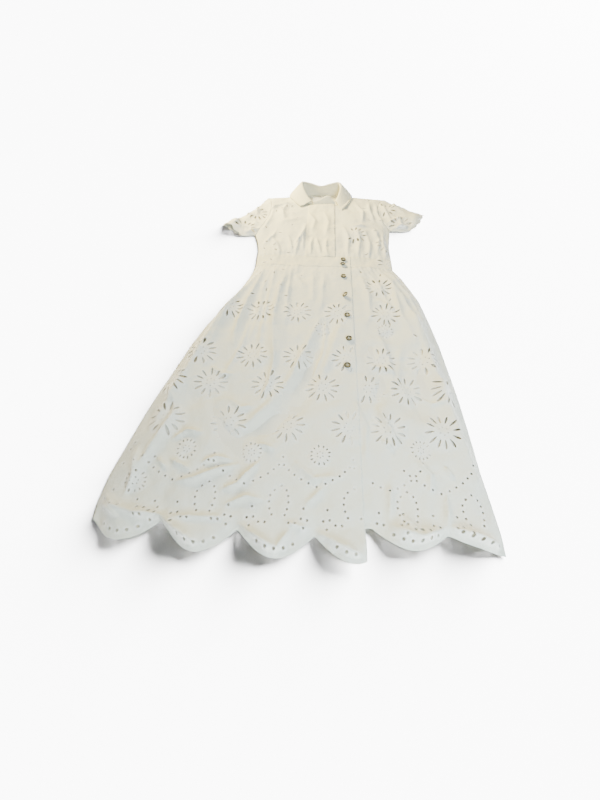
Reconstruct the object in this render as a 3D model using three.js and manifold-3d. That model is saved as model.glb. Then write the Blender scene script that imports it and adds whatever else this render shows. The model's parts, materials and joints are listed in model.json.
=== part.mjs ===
// Shirt dress in white cotton eyelet cloth, laid flat on its back.
// Sizes are millimetres. While the dress is drawn, u runs across it to the wearer's left,
// v runs down it from the high point of the shoulder to the hem, and z stands up from the
// surface it lies on. The finished group has its origin under the middle of the dress, with
// the neck towards +Y and the hem towards -Y.

import * as THREE from 'three';
import Module from 'manifold-3d';
import { mergeGeometries, mergeVertices } from 'three/addons/utils/BufferGeometryUtils.js';

const wasm = await Module();
wasm.setup();

// ---------------------------------------------------------------- driving sizes

const CLOTH = 1.3;                // front panels, with their pile of thread
const BACK_CLOTH = 1.4;           // panels that lie on the surface
const TRIM_CLOTH = 1.0;           // placket strip and label
const SEAM = 0.3;                 // clearance between neighbouring pieces
const BED = BACK_CLOTH + SEAM;    // lowest level of everything on top of the back

const BAND_TOP = 388;             // v of the upper edge of the waistband
const BAND_FOOT = 430.7;
const BODICE_FOOT = BAND_TOP - SEAM;
const SKIRT_TOP = BAND_FOOT + SEAM;
const HEM_START = 1080;           // below this the rows of the skirt follow the scallops

const BODICE_EDGE = 25;           // u of the closing edge on the bodice
const BODICE_UNDERLAP = 4;        // u where the hidden layer of the bodice starts
const STRIP_EDGE = -65;           // u where the plain centre strip starts
const SKIRT_EDGE = 70;            // u of the closing edge on band and skirt
const SKIRT_UNDERLAP = 42;        // u where the hidden layer of band and skirt starts

// Sides of the bodice: armhole down to the underarm, then the side seam.
const BODICE_LEFT = [
  { v: 38, u: -214 }, { v: 50, u: -212 }, { v: 80, u: -197 }, { v: 115, u: -190 },
  { v: 150, u: -190 }, { v: 190, u: -194 }, { v: 230, u: -204 }, { v: 262, u: -219 },
  { v: 277, u: -228 }, { v: 310, u: -217 }, { v: 356, u: -208 }, { v: 431, u: -207 },
];
const BODICE_RIGHT = [
  { v: 38, u: 204 }, { v: 43, u: 203 }, { v: 62, u: 186 }, { v: 85, u: 176 },
  { v: 120, u: 172 }, { v: 160, u: 173 }, { v: 195, u: 180 }, { v: 215, u: 190 },
  { v: 231, u: 203 }, { v: 260, u: 199 }, { v: 322, u: 191 }, { v: 431, u: 192 },
];
const SHOULDER_LEFT = 50;         // v of the outer end of each shoulder seam
const SHOULDER_RIGHT = 43;
const UNDERARM_LEFT = 277;
const UNDERARM_RIGHT = 231;
const ARMHOLE_GAP = 0.5;          // clearance along the slanting armhole seams

// Sides of the skirt, from the waistband to the hem.
const SKIRT_LEFT = [
  { v: 431, u: -207 }, { v: 465, u: -213 }, { v: 518, u: -231 }, { v: 581, u: -261 },
  { v: 677, u: -305 }, { v: 737, u: -326 }, { v: 803, u: -344 }, { v: 871, u: -364 },
  { v: 930, u: -379 }, { v: 998, u: -393 }, { v: 1058, u: -406 }, { v: 1115, u: -410 },
  { v: 1190, u: -402 },
];
const SKIRT_RIGHT = [
  { v: 431, u: 192 }, { v: 470, u: 214 }, { v: 555, u: 248 }, { v: 636, u: 263 },
  { v: 713, u: 275 }, { v: 856, u: 289 }, { v: 945, u: 294 }, { v: 1024, u: 297 },
  { v: 1080, u: 302 }, { v: 1133, u: 306 }, { v: 1190, u: 303 },
];

// Scallops of the hem: each runs between two notches and hangs below the line of them.
const SCALLOPS_OVER = [
  { from: -415, to: -282, notchFrom: 1133, notchTo: 1137, depth: 37 },
  { from: -282, to: -149, notchFrom: 1137, notchTo: 1145, depth: 42 },
  { from: -149, to: -15.5, notchFrom: 1145, notchTo: 1149, depth: 39 },
  { from: -15.5, to: 117, notchFrom: 1149, notchTo: 1150, depth: 38 },
];
const SCALLOPS_UNDER = [
  { from: 0, to: 82, notchFrom: 1125, notchTo: 1131, depth: 6 },
  { from: 82, to: 211, notchFrom: 1131, notchTo: 1137, depth: 29 },
  { from: 211, to: 330, notchFrom: 1137, notchTo: 1168, depth: 4 },
];

// Neck: an oval hole, with the shoulder seams running out from its sides.
const NECK = { u: -18, v: 62, across: 100, down: 43 };
const SHOULDERS = [
  { u: -240, v: 53 }, { u: -212, v: 50 }, { u: -119, v: 38 },
];
const SHOULDERS_RIGHT = [
  { u: 83, v: 29 }, { u: 203, v: 43 }, { u: 240, v: 47 },
];

// Sleeves, in sections from the armhole out to the mouth: ends of each section at the
// fold along the top of the arm and at the seam under the arm, and how far it bows out.
const SLEEVE_LEFT = [
  { topU: -226, topV: 84, footU: -236, footV: 278, bow: 0 },
  { topU: -242, topV: 114, footU: -243, footV: 279, bow: 4 },
  { topU: -273, topV: 160, footU: -256, footV: 281, bow: 8 },
  { topU: -304, topV: 190, footU: -263, footV: 282, bow: 9 },
  { topU: -340, topV: 215, footU: -269, footV: 281, bow: 4 },
];
const SLEEVE_RIGHT = [
  { topU: 219, topV: 61, footU: 217, footV: 232, bow: 0 },
  { topU: 237, topV: 79, footU: 232, footV: 233, bow: 5 },
  { topU: 265, topV: 98, footU: 245, footV: 232, bow: 10 },
  { topU: 293, topV: 114, footU: 254, footV: 231, bow: 12 },
  { topU: 321, topV: 130, footU: 261, footV: 229, bow: 10 },
];
const SLEEVE_WAVE = { count: 4, depth: 4 };      // scallops along each sleeve mouth

// Fullness of the cloth over the back, down the dress.
const FULLNESS = [
  { v: 0, z: 7 }, { v: 110, z: 9 }, { v: 250, z: 10 }, { v: 340, z: 8 }, { v: 431, z: 6 },
  { v: 520, z: 9 }, { v: 700, z: 11 }, { v: 900, z: 11 }, { v: 1080, z: 8 },
  { v: 1190, z: 11 },
];
const EDGE_ROUND = 46;            // width over which the cloth rises from a closed edge

// Largest folds: soft ridges, or troughs where the height is negative.
const FOLDS = [
  { name: 'side ridge, upper', u0: -186, v0: 464, u1: -262, v1: 640, width: 26, height: 6 },
  { name: 'side ridge, middle', u0: -262, v0: 640, u1: -319, v1: 848, width: 30, height: 8 },
  { name: 'side ridge, lower', u0: -319, v0: 848, u1: -360, v1: 1050, width: 24, height: 6 },
  { name: 'front ridge', u0: -136, v0: 470, u1: -122, v1: 764, width: 24, height: 7 },
  { name: 'trough by front ridge', u0: -168, v0: 560, u1: -190, v1: 760, width: 26, height: -5 },
  { name: 'blue trough, upper', u0: 11, v0: 650, u1: -55, v1: 864, width: 34, height: -7 },
  { name: 'blue trough, lower', u0: -55, v0: 864, u1: -123, v1: 952, width: 34, height: -6 },
  { name: 'ridge over the hem', u0: -220, v0: 930, u1: -250, v1: 1090, width: 30, height: 5 },
  { name: 'left gouge', u0: -318, v0: 848, u1: -282, v1: 902, width: 14, height: -4 },
  { name: 'button line ridge', u0: 20, v0: 900, u1: 35, v1: 1100, width: 30, height: 4 },
  { name: 'right ridge, upper', u0: 177, v0: 484, u1: 217, v1: 646, width: 24, height: 6 },
  { name: 'right ridge, middle', u0: 217, v0: 646, u1: 249, v1: 843, width: 24, height: 8 },
  { name: 'right ridge, lower', u0: 249, v0: 843, u1: 284, v1: 1034, width: 20, height: 7 },
  { name: 'right trough', u0: 150, v0: 700, u1: 190, v1: 900, width: 26, height: -6 },
  { name: 'right cross ridge', u0: 120, v0: 905, u1: 240, v1: 950, width: 24, height: 5 },
  { name: 'scallop 1 lift', u0: -362, v0: 1150, u1: -338, v1: 1166, width: 34, height: 9 },
  { name: 'scallop 2 lift', u0: -222, v0: 1168, u1: -202, v1: 1168, width: 30, height: 8 },
  { name: 'scallop 3 lift', u0: -92, v0: 1172, u1: -72, v1: 1172, width: 28, height: 6 },
  { name: 'scallop 4 lift', u0: 48, v0: 1172, u1: 68, v1: 1172, width: 30, height: 8 },
  { name: 'scallop 5 lift', u0: 138, v0: 1150, u1: 166, v1: 1150, width: 30, height: 9 },
  { name: 'folded hem', u0: 236, v0: 1136, u1: 262, v1: 1146, width: 24, height: 5 },
  { name: 'bust, right side', u0: -128, v0: 190, u1: -112, v1: 262, width: 44, height: 6 },
  { name: 'bust, left side', u0: 104, v0: 180, u1: 98, v1: 250, width: 40, height: 6 },
  { name: 'sleeve ridge', u0: -238, v0: 150, u1: -292, v1: 232, width: 24, height: 9 },
  { name: 'sleeve mouth', u0: -322, v0: 222, u1: -300, v1: 240, width: 18, height: 8 },
  { name: 'second sleeve ridge', u0: 228, v0: 120, u1: 276, v1: 178, width: 24, height: 7 },
  { name: 'second sleeve mouth', u0: 300, v0: 146, u1: 284, v1: 184, width: 18, height: 6 },
];

// Gathers: every other column of a gathered panel is a crest. Crests differ in height.
const CREST_HEIGHTS = [1.0, 0.5, 0.9, 0.35, 0.75, 1.0, 0.45, 0.8];
const SKIRT_GATHER = { height: 1.7, seat: SKIRT_TOP, reach: 120 };
const BODICE_GATHER = { height: 1.5, seat: BODICE_FOOT, reach: 95 };

// Collar, in sections from the wearer's right front end round the back to the left one:
// the neck seam, the fold at the top, and the free edge of the fall.
const COLLAR = [
  { seamU: -52, seamV: 100, foldU: -57, foldV: 97, foldZ: 18, edgeU: -93, edgeV: 121, edgeZ: 10 },
  { seamU: -90, seamV: 86, foldU: -76, foldV: 72, foldZ: 27, edgeU: -115, edgeV: 90, edgeZ: 9 },
  { seamU: -108, seamV: 62, foldU: -89, foldV: 42, foldZ: 38, edgeU: -132, edgeV: 56, edgeZ: 7 },
  { seamU: -97, seamV: 38, foldU: -90, foldV: 22, foldZ: 43, edgeU: -129, edgeV: 26, edgeZ: 6 },
  { seamU: -66, seamV: 25, foldU: -64, foldV: 18, foldZ: 38, edgeU: -84, edgeV: 0, edgeZ: 6 },
  { seamU: -20, seamV: 21, foldU: -26, foldV: 22, foldZ: 31, edgeU: -26, edgeV: -4, edgeZ: 5 },
  { seamU: 28, seamV: 24, foldU: 12, foldV: 17, foldZ: 38, edgeU: 34, edgeV: -2, edgeZ: 6 },
  { seamU: 60, seamV: 38, foldU: 36, foldV: 20, foldZ: 43, edgeU: 80, edgeV: 20, edgeZ: 6 },
  { seamU: 72, seamV: 62, foldU: 44, foldV: 42, foldZ: 38, edgeU: 84, edgeV: 54, edgeZ: 7 },
  { seamU: 56, seamV: 86, foldU: 37, foldV: 73, foldZ: 27, edgeU: 68, edgeV: 100, edgeZ: 9 },
  { seamU: 32, seamV: 96, foldU: 28, foldV: 94, foldZ: 18, edgeU: 48, edgeV: 138, edgeZ: 10 },
];
const COLLAR_STEPS = 3;           // sections worked out between two rows of the table
const FALL_LIFT = 0.6;            // roll of the fall over the top of the stand
const FALL_REST = CLOTH + 1.2;    // height of the fall over the underside of the front cloth

// Front of the stand, between the two ends of the fall: it stands up to one point.
const STAND_FRONT = [
  { u: -48, z: 19, lean: 2 }, { u: -30, z: 24, lean: 8 }, { u: -4, z: 34, lean: 17 },
  { u: 12, z: 27, lean: 10 }, { u: 26, z: 19, lean: 2 },
];

const LABEL = { u0: -52, u1: 8, v0: 34, v1: 66 };

// Buttons down the closing edge: place, and how far each is tipped about the dress's length.
const BUTTON = { radius: 7.8, foot: 5.5, edge: 1.5, height: 3.4, rim: 1.3, sides: 12 };
const BUTTONS = [
  { u: 48, v: 401, tip: 0 }, { u: 46, v: 422.5, tip: 24 }, { u: 47, v: 477, tip: 0 },
  { u: 49, v: 552, tip: 58 }, { u: 53, v: 630, tip: 0 }, { u: 55, v: 709, tip: 0 },
  { u: 49, v: 790, tip: 0 },
];

// Cut-out daisies. Each has a ring of pointed petals that are holes through the cloth, whose
// half widths are given along them, from the inner point to the outer one.
const DAISY = { petals: 11, inner: 19, outer: 38, width: 5.6 };
const PETAL = [
  { along: 0, half: 0 }, { along: 0.4, half: 0.42 }, { along: 0.78, half: 0.5 },
  { along: 1, half: 0 },
];
const DAISIES = [
  { v: 945, at: [-324, -196, -77, 24, 127, 235] },
  { v: 850, at: [-253, -127, -7, 176] },
  { v: 769, at: [-291, -172, -64, 224] },
  { v: 622, at: [-74] },
  { v: 520, at: [140] },
  { v: 350, at: [-164] },
  { v: 312, at: [152] },
  { v: 237, at: [-264] },
  { v: 192, at: [240] },
];

// The largest round holes lie along the foot of each scallop, side by side.
const HEM_HOLE = { radius: 2.8, sides: 6, fromEdge: 14 };
const HEM_HOLE_GROUPS = [
  { middle: -350, side: 2 }, { middle: -212, side: 2 }, { middle: -84, side: 2 },
  { middle: 46, side: 1 }, { middle: 150, side: 2 },
];
const HEM_HOLE_PITCH = 15;
const CUT_HEIGHT = 60;            // the holes are cut straight down through the front
const HOLE_MARGIN = 3;            // cloth left between a hole and the edge of its panel

const COLOURS = { cloth: 0xf3efe4, plain: 0xf6f0dc, label: 0xffffff, button: 0x8a7c4a };

// ---------------------------------------------------------------- small helpers

const mix = THREE.MathUtils.lerp;
const ease = (x) => THREE.MathUtils.smoothstep(x, 0, 1);

/** Value in a table at a place between its rows. */
function read(table, place, by, column) {
  const last = table.length - 1;
  if (place <= table[0][by]) return table[0][column];
  if (place >= table[last][by]) return table[last][column];
  const next = table.findIndex((row) => row[by] > place);
  const [a, b] = [table[next - 1], table[next]];
  return mix(a[column], b[column], (place - a[by]) / (b[by] - a[by]));
}

function distanceToSegment(u, v, u0, v0, u1, v1) {
  const [du, dv] = [u1 - u0, v1 - v0];
  const along = ((u - u0) * du + (v - v0) * dv) / (du * du + dv * dv);
  const held = THREE.MathUtils.clamp(along, 0, 1);
  return Math.hypot(u - u0 - held * du, v - v0 - held * dv);
}

function mesh(name, geometry, colour, roughness = 0.9) {
  const body = new THREE.Mesh(geometry, new THREE.MeshStandardMaterial({ color: colour, roughness }));
  body.name = name;
  return body;
}

// ---------------------------------------------------------------- outline of the dress

const leftSide = (v) => read(v < SKIRT_TOP ? BODICE_LEFT : SKIRT_LEFT, v, 'v', 'u');
const rightSide = (v) => read(v < SKIRT_TOP ? BODICE_RIGHT : SKIRT_RIGHT, v, 'v', 'u');

function hemLine(scallops, u) {
  const last = scallops[scallops.length - 1];
  const lobe = scallops.find((row) => u >= row.from && u < row.to) ?? (u < 0 ? scallops[0] : last);
  const t = THREE.MathUtils.clamp((u - lobe.from) / (lobe.to - lobe.from), 0, 1);
  return mix(lobe.notchFrom, lobe.notchTo, t) + lobe.depth * Math.sin(Math.PI * t);
}

/** Front neckline and shoulder seams: the upper edge of the front bodice. */
function frontTop(u) {
  const across = (u - NECK.u) / NECK.across;
  if (Math.abs(across) < 0.98) return NECK.v + NECK.down * Math.sqrt(1 - across * across);
  return read(u < 0 ? SHOULDERS : SHOULDERS_RIGHT, u, 'u', 'v');
}

/** Edges where front and back are sewn or folded together, as pairs of points. */
function closedEdges() {
  const path = (points) => points.slice(1).map((point, i) => [...points[i], ...point]);
  const down = (table, from) => table.filter((row) => row.v >= from).map((row) => [row.u, row.v]);
  const sleeve = (sections, end) => sections.map((row) => [row[end + 'U'], row[end + 'V']]);
  return [
    ...path([[-119, 38], [-212, 50], ...sleeve(SLEEVE_LEFT, 'top')]),
    ...path([...sleeve(SLEEVE_LEFT, 'foot')].reverse()),
    ...path([...down(BODICE_LEFT, UNDERARM_LEFT), ...down(SKIRT_LEFT, SKIRT_TOP + 1)]),
    ...path([[83, 29], [203, 43], ...sleeve(SLEEVE_RIGHT, 'top')]),
    ...path([...sleeve(SLEEVE_RIGHT, 'foot')].reverse()),
    ...path([...down(BODICE_RIGHT, UNDERARM_RIGHT), ...down(SKIRT_RIGHT, SKIRT_TOP + 1)]),
  ];
}
const CLOSED_EDGES = closedEdges();

/** Height of the underside of the front cloth over the surface. */
function clothLevel(u, v) {
  const toEdge = Math.min(...CLOSED_EDGES.map((edge) => distanceToSegment(u, v, ...edge)));
  const rise = Math.sin(Math.PI / 2 * Math.min(toEdge / EDGE_ROUND, 1));
  let height = read(FULLNESS, v, 'v', 'z');
  for (const fold of FOLDS) {
    const away = distanceToSegment(u, v, fold.u0, fold.v0, fold.u1, fold.v1) / fold.width;
    height += fold.height * Math.exp(-away * away);
  }
  return BED + rise * Math.max(height, 1);
}

// ---------------------------------------------------------------- walls of cloth

/** Closed wall between two grids that have the same rows and columns. */
function wall(inner, outer) {
  const [rows, columns] = [inner.length, inner[0].length];
  const positions = [...inner.flat(), ...outer.flat()].flatMap((p) => [p.u, -p.v, p.z]);
  const at = (layer, row, column) => (layer * rows + row) * columns + column;
  const faces = [];
  const quad = (a, b, c, d) => faces.push(a, c, b, a, d, c);
  for (let row = 0; row < rows - 1; row += 1) {
    for (let column = 0; column < columns - 1; column += 1) {
      const [right, down] = [column + 1, row + 1];
      quad(at(1, row, column), at(1, row, right), at(1, down, right), at(1, down, column));
      quad(at(0, row, column), at(0, down, column), at(0, down, right), at(0, row, right));
    }
  }
  const side = (r0, c0, r1, c1) => quad(at(1, r1, c1), at(1, r0, c0), at(0, r0, c0), at(0, r1, c1));
  for (let column = 0; column < columns - 1; column += 1) {
    side(0, column, 0, column + 1);
    side(rows - 1, column + 1, rows - 1, column);
  }
  for (let row = 0; row < rows - 1; row += 1) {
    side(row, columns - 1, row + 1, columns - 1);
    side(row + 1, 0, row, 0);
  }
  const geometry = new THREE.BufferGeometry();
  geometry.setAttribute('position', new THREE.Float32BufferAttribute(positions, 3));
  geometry.setIndex(faces);
  geometry.computeVertexNormals();
  return geometry;
}

const raised = (grid, by) => grid.map((row) => row.map((p) => ({ ...p, z: p.z + by })));
const columnsOf = (grid, from, to) => grid.map((row) => row.slice(from, to));

/** Wall that stands on a grid, thick upwards. */
const layer = (grid, thickness) => wall(grid, raised(grid, thickness));

/** Flat piece on the surface, from its outline. */
function flatPiece(outline, thickness, level = 0) {
  const shape = new THREE.Shape(outline.map(([u, v]) => new THREE.Vector2(u, -v)));
  const geometry = new THREE.ExtrudeGeometry(shape, { depth: thickness, bevelEnabled: false });
  return geometry.translate(0, 0, level);
}

/** Evenly spaced numbers from a to b, b left out. */
const spread = (a, b, count) => Array.from({ length: count }, (_, i) => mix(a, b, i / count));

/**
 * Columns of a front panel at one level, from the wearer's right side to the left side:
 * gathered stretches at both sides and fixed columns between them.
 */
function columnsAt(left, right, fixed, before, after) {
  const [first, last] = [fixed[0], fixed[fixed.length - 1]];
  return [
    ...spread(left, first, before), ...fixed,
    ...spread(last, right, after).slice(1), right,
  ];
}

/** Crest or trough of the gathers, at a column counted from the side of the panel. */
function gatherAt(column, gathered, v, gather) {
  if (!gathered) return 0;
  const fade = Math.max(0, 1 - Math.abs(v - gather.seat) / gather.reach);
  const crest = CREST_HEIGHTS[Math.floor(column / 2) % CREST_HEIGHTS.length];
  return gather.height * fade * fade * crest * (column % 2 ? 1 : 0);
}

// ---------------------------------------------------------------- front of the skirt

const SKIRT_ROWS = [
  SKIRT_TOP, 447, 470, 504, 546, 594, 644, 692, 740, 788, 838, 888, 940, 990, 1036, HEM_START,
];
const HEM_STEPS = 3;
const SKIRT_FIXED = [SKIRT_UNDERLAP, 56, SKIRT_EDGE];
const SKIRT_BEFORE = 21;
const SKIRT_AFTER = 11;

/** Lift of the upper layer over the hidden one along the closing edge. */
function overlapLift(u, start) {
  return (CLOTH + SEAM) * ease((u - start + 30) / 30);
}

function skirtGrid(scallops, isOver) {
  const rowAt = (v, toHem) => {
    const columns = columnsAt(leftSide(v), rightSide(v), SKIRT_FIXED, SKIRT_BEFORE, SKIRT_AFTER);
    return columns.map((u, column) => {
      const level = toHem ? mix(HEM_START, hemLine(scallops, u), toHem) : v;
      const gathered = column < SKIRT_BEFORE || column >= SKIRT_BEFORE + SKIRT_FIXED.length;
      const lift = isOver ? overlapLift(u, SKIRT_UNDERLAP) + (u > 0 ? 2.5 * toHem : 0) : 0;
      const z = clothLevel(u, level) + gatherAt(column, gathered, level, SKIRT_GATHER) + lift;
      return { u, v: level, z };
    });
  };
  const hemRows = spread(0, 1, HEM_STEPS).slice(1).concat(1);
  return [
    ...SKIRT_ROWS.map((v) => rowAt(v, 0)),
    ...hemRows.map((toHem) => rowAt(HEM_START + 60 * toHem, toHem)),
  ];
}

const skirtOver = columnsOf(skirtGrid(SCALLOPS_OVER, true), 0, SKIRT_BEFORE + 3);
const skirtUnder = columnsOf(skirtGrid(SCALLOPS_UNDER, false), SKIRT_BEFORE);
const skirtUnderShown = columnsOf(skirtUnder, SKIRT_FIXED.indexOf(SKIRT_EDGE));

// ---------------------------------------------------------------- waistband

const BAND_ROWS = [BAND_TOP, 397, BAND_FOOT];
const BAND_BEFORE = 14;
const BAND_AFTER = 7;

function bandGrid(isOver) {
  return BAND_ROWS.map((v) => {
    const columns = columnsAt(leftSide(v), rightSide(v), SKIRT_FIXED, BAND_BEFORE, BAND_AFTER);
    return columns.map((u) => {
      const lift = isOver ? overlapLift(u, SKIRT_UNDERLAP) : 0;
      return { u, v, z: clothLevel(u, v) + lift };
    });
  });
}
const bandOver = columnsOf(bandGrid(true), 0, BAND_BEFORE + 3);
const bandUnder = columnsOf(bandGrid(false), BAND_BEFORE);

// ---------------------------------------------------------------- front of the bodice

const BODICE_STEPS = 11;
const BODICE_FIXED = [STRIP_EDGE, -42, -18, BODICE_UNDERLAP, 14, BODICE_EDGE];
const BODICE_BEFORE = 10;
const BODICE_AFTER = 10;
const UNDERLAP_COLUMN = BODICE_BEFORE + 3;

function bodiceGrid(isOver) {
  const shoulders = columnsAt(-212, 203, BODICE_FIXED, BODICE_BEFORE, BODICE_AFTER);
  const steps = spread(0, 1, BODICE_STEPS).concat(1);
  return steps.map((step) => shoulders.map((start, column) => {
    const v = mix(frontTop(start), BODICE_FOOT, step);
    const u = columnsAt(leftSide(v), rightSide(v), BODICE_FIXED, BODICE_BEFORE, BODICE_AFTER)[column];
    const gathered = column < BODICE_BEFORE || column >= BODICE_BEFORE + BODICE_FIXED.length;
    const lift = isOver ? overlapLift(u, BODICE_UNDERLAP) : 0;
    return { u, v, z: clothLevel(u, v) + gatherAt(column, gathered, v, BODICE_GATHER) + lift };
  }));
}
const bodiceOver = columnsOf(bodiceGrid(true), 0, BODICE_BEFORE + BODICE_FIXED.length);
const bodiceUnder = columnsOf(bodiceGrid(false), UNDERLAP_COLUMN);
const bodiceOverShown = columnsOf(bodiceOver, 0, BODICE_BEFORE + 1);
const bodiceUnderShown = columnsOf(bodiceUnder, BODICE_FIXED.length - 1 - 3);
const strip = raised(columnsOf(bodiceOver, BODICE_BEFORE), CLOTH + SEAM);

// ---------------------------------------------------------------- sleeves

/** Levels of the bodice's rows from the shoulder to the underarm, shared by the sleeve. */
function armholeLevels(shoulder, underarm) {
  const rows = spread(shoulder, BODICE_FOOT, BODICE_STEPS);
  return [...rows.filter((v) => v < underarm - 5), underarm];
}

/** Grid of one sleeve: a row for each section, the first along the armhole. */
function sleeveGrid(sections, side, shoulder, underarm, outward) {
  const levels = armholeLevels(shoulder, underarm);
  const armhole = levels.map((v) => ({ u: side(v) + outward * ARMHOLE_GAP, v }));
  const rows = sections.map((section, i) => levels.map((level) => {
    const t = (level - shoulder) / (underarm - shoulder);
    const swell = Math.sin(Math.PI * t);
    const mouth = i === sections.length - 1;
    const wave = mouth ? SLEEVE_WAVE.depth * Math.abs(Math.sin(Math.PI * SLEEVE_WAVE.count * t)) : 0;
    return {
      u: mix(section.topU, section.footU, t) + outward * (section.bow * swell + wave),
      v: mix(section.topV, section.footV, t),
    };
  }));
  const grid = [armhole, ...rows].map((row) => row.map((p) => ({ ...p, z: clothLevel(p.u, p.v) })));
  return outward < 0 ? grid : grid.reverse();
}
const sleeveLeft = sleeveGrid(SLEEVE_LEFT, leftSide, SHOULDER_LEFT, UNDERARM_LEFT, -1);
const sleeveRight = sleeveGrid(SLEEVE_RIGHT, rightSide, SHOULDER_RIGHT, UNDERARM_RIGHT, 1);

/** Outline of a grid, drawn in by a small step so that the front covers it. */
function outlineOf(grid) {
  const last = grid[0].length - 1;
  return [
    ...grid[0],
    ...grid.slice(1, -1).map((row) => row[last]),
    ...[...grid[grid.length - 1]].reverse(),
    ...grid.slice(1, -1).map((row) => row[0]).reverse(),
  ].map((p) => [p.u, p.v]);
}

// ---------------------------------------------------------------- back panels

function backBodice() {
  const neck = spread(-1, 1, 12).concat(1).map((t) => [
    NECK.u + 100 * t, 14 + 20 * t * t - 5 * t,
  ]);
  const down = (shoulder, underarm) => [
    ...armholeLevels(shoulder, underarm), ...spread(underarm, BAND_FOOT, 6).slice(1), BAND_FOOT,
  ];
  const right = down(SHOULDER_RIGHT, UNDERARM_RIGHT).map((v) => [rightSide(v), v]);
  const left = down(SHOULDER_LEFT, UNDERARM_LEFT).map((v) => [leftSide(v), v]);
  return [...neck, ...right, ...left.reverse()];
}

function backSkirt() {
  const down = spread(SKIRT_TOP, 1120, 22);
  const left = down.map((v) => [leftSide(v), v]);
  const right = down.map((v) => [rightSide(v), v]);
  const hem = spread(-405, 302, 72).concat(302).map((u) => {
    const scallops = u < SKIRT_EDGE ? SCALLOPS_OVER : SCALLOPS_UNDER;
    return [u, hemLine(scallops, u) - 3];
  });
  return [...left, ...hem, ...right.reverse()];
}

// ---------------------------------------------------------------- holes

/** Corners of one petal hole of the daisy at (u, v), turned by an angle. */
function petalAt(u, v, angle) {
  const { inner, outer, width } = DAISY;
  const corner = ({ along, half }, side) => {
    const [reach, off] = [mix(inner, outer, along), side * half * width];
    const [sin, cos] = [Math.sin(angle), Math.cos(angle)];
    return [u + reach * cos - off * sin, v + reach * sin + off * cos];
  };
  const back = PETAL.slice(1, -1).reverse();
  return [...PETAL.map((row) => corner(row, 1)), ...back.map((row) => corner(row, -1))];
}

function roundHole(u, v) {
  return spread(0, 2 * Math.PI, HEM_HOLE.sides).map((angle) => (
    [u + HEM_HOLE.radius * Math.cos(angle), v + HEM_HOLE.radius * Math.sin(angle)]
  ));
}

/** Every hole of the front, as an outline. */
function allHoles() {
  const petals = DAISIES.flatMap(({ v, at }) => at.flatMap((u) => (
    spread(0, 2 * Math.PI, DAISY.petals).map((angle) => petalAt(u, v, angle + u))
  )));
  const rounds = HEM_HOLE_GROUPS.flatMap(({ middle, side }) => {
    const scallops = middle < SKIRT_EDGE ? SCALLOPS_OVER : SCALLOPS_UNDER;
    return spread(-side, side + 1, 2 * side + 1).map((step) => {
      const u = middle + step * HEM_HOLE_PITCH;
      return roundHole(u, hemLine(scallops, u) - HEM_HOLE.fromEdge);
    });
  });
  return [...petals, ...rounds];
}

/** Whether a point lies inside an outline, away from its edge by a margin. */
function isWithin([u, v], outline, margin) {
  let inside = false;
  for (let i = 0; i < outline.length; i += 1) {
    const [[u0, v0], [u1, v1]] = [outline[i], outline[(i + 1) % outline.length]];
    if (distanceToSegment(u, v, u0, v0, u1, v1) < margin) return false;
    if ((v0 > v) !== (v1 > v) && u < u0 + (v - v0) / (v1 - v0) * (u1 - u0)) inside = !inside;
  }
  return inside;
}

function toSolid(geometry) {
  geometry.deleteAttribute('normal');
  geometry.deleteAttribute('uv');
  const merged = mergeVertices(geometry);
  return new wasm.Manifold(new wasm.Mesh({
    numProp: 3,
    vertProperties: Float32Array.from(merged.attributes.position.array),
    triVerts: Uint32Array.from(merged.index.array),
  }));
}

/** Panel with the holes that fall wholly inside the part of it that shows. */
function pierced(grid, visible) {
  const outline = outlineOf(visible);
  const holes = allHoles().filter((hole) => (
    hole.every((corner) => isWithin(corner, outline, HOLE_MARGIN))
  ));
  const cutters = mergeGeometries(holes.map((hole) => flatPiece(hole, CUT_HEIGHT)));
  const { numProp, vertProperties, triVerts } = toSolid(layer(grid, CLOTH))
    .subtract(toSolid(cutters)).getMesh();
  const geometry = new THREE.BufferGeometry();
  geometry.setAttribute('position', new THREE.BufferAttribute(vertProperties, numProp));
  geometry.setIndex(new THREE.BufferAttribute(triVerts, 1));
  geometry.computeVertexNormals();
  return geometry;
}

// ---------------------------------------------------------------- collar

/** Sections of the collar, worked out between the rows of its table. */
function collarSections() {
  const keys = Object.keys(COLLAR[0]);
  const curves = Object.fromEntries(keys.map((key) => {
    const points = COLLAR.map((row, i) => new THREE.Vector3(i, row[key], 0));
    return [key, new THREE.CatmullRomCurve3(points, false, 'centripetal')];
  }));
  const count = (COLLAR.length - 1) * COLLAR_STEPS;
  return Array.from({ length: count + 1 }, (_, i) => (
    Object.fromEntries(keys.map((key) => [key, curves[key].getPoint(i / count).y]))
  ));
}
const SECTIONS = collarSections();

/** Level of the neck seam: on the back behind, and up to the front cloth before. */
function seamLevel(v) {
  return BED + 9 * ease((v - 40) / 50);
}

/** Sideways step out of the neck at each section, for the thickness of a standing wall. */
function outwardAt(points, i) {
  const [before, after] = [points[Math.max(i - 1, 0)], points[Math.min(i + 1, points.length - 1)]];
  const [du, dv] = [after.u - before.u, after.v - before.v];
  const length = Math.hypot(du, dv) || 1;
  return { u: dv / length, v: -du / length };
}

/** Standing wall whose outer face is a grid. */
function standingWall(rows, thickness) {
  const moved = rows.map((row) => row.map((p, i) => {
    const out = outwardAt(rows[0], i);
    return { u: p.u - out.u * thickness, v: p.v - out.v * thickness, z: p.z };
  }));
  return wall(moved, rows);
}

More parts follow.
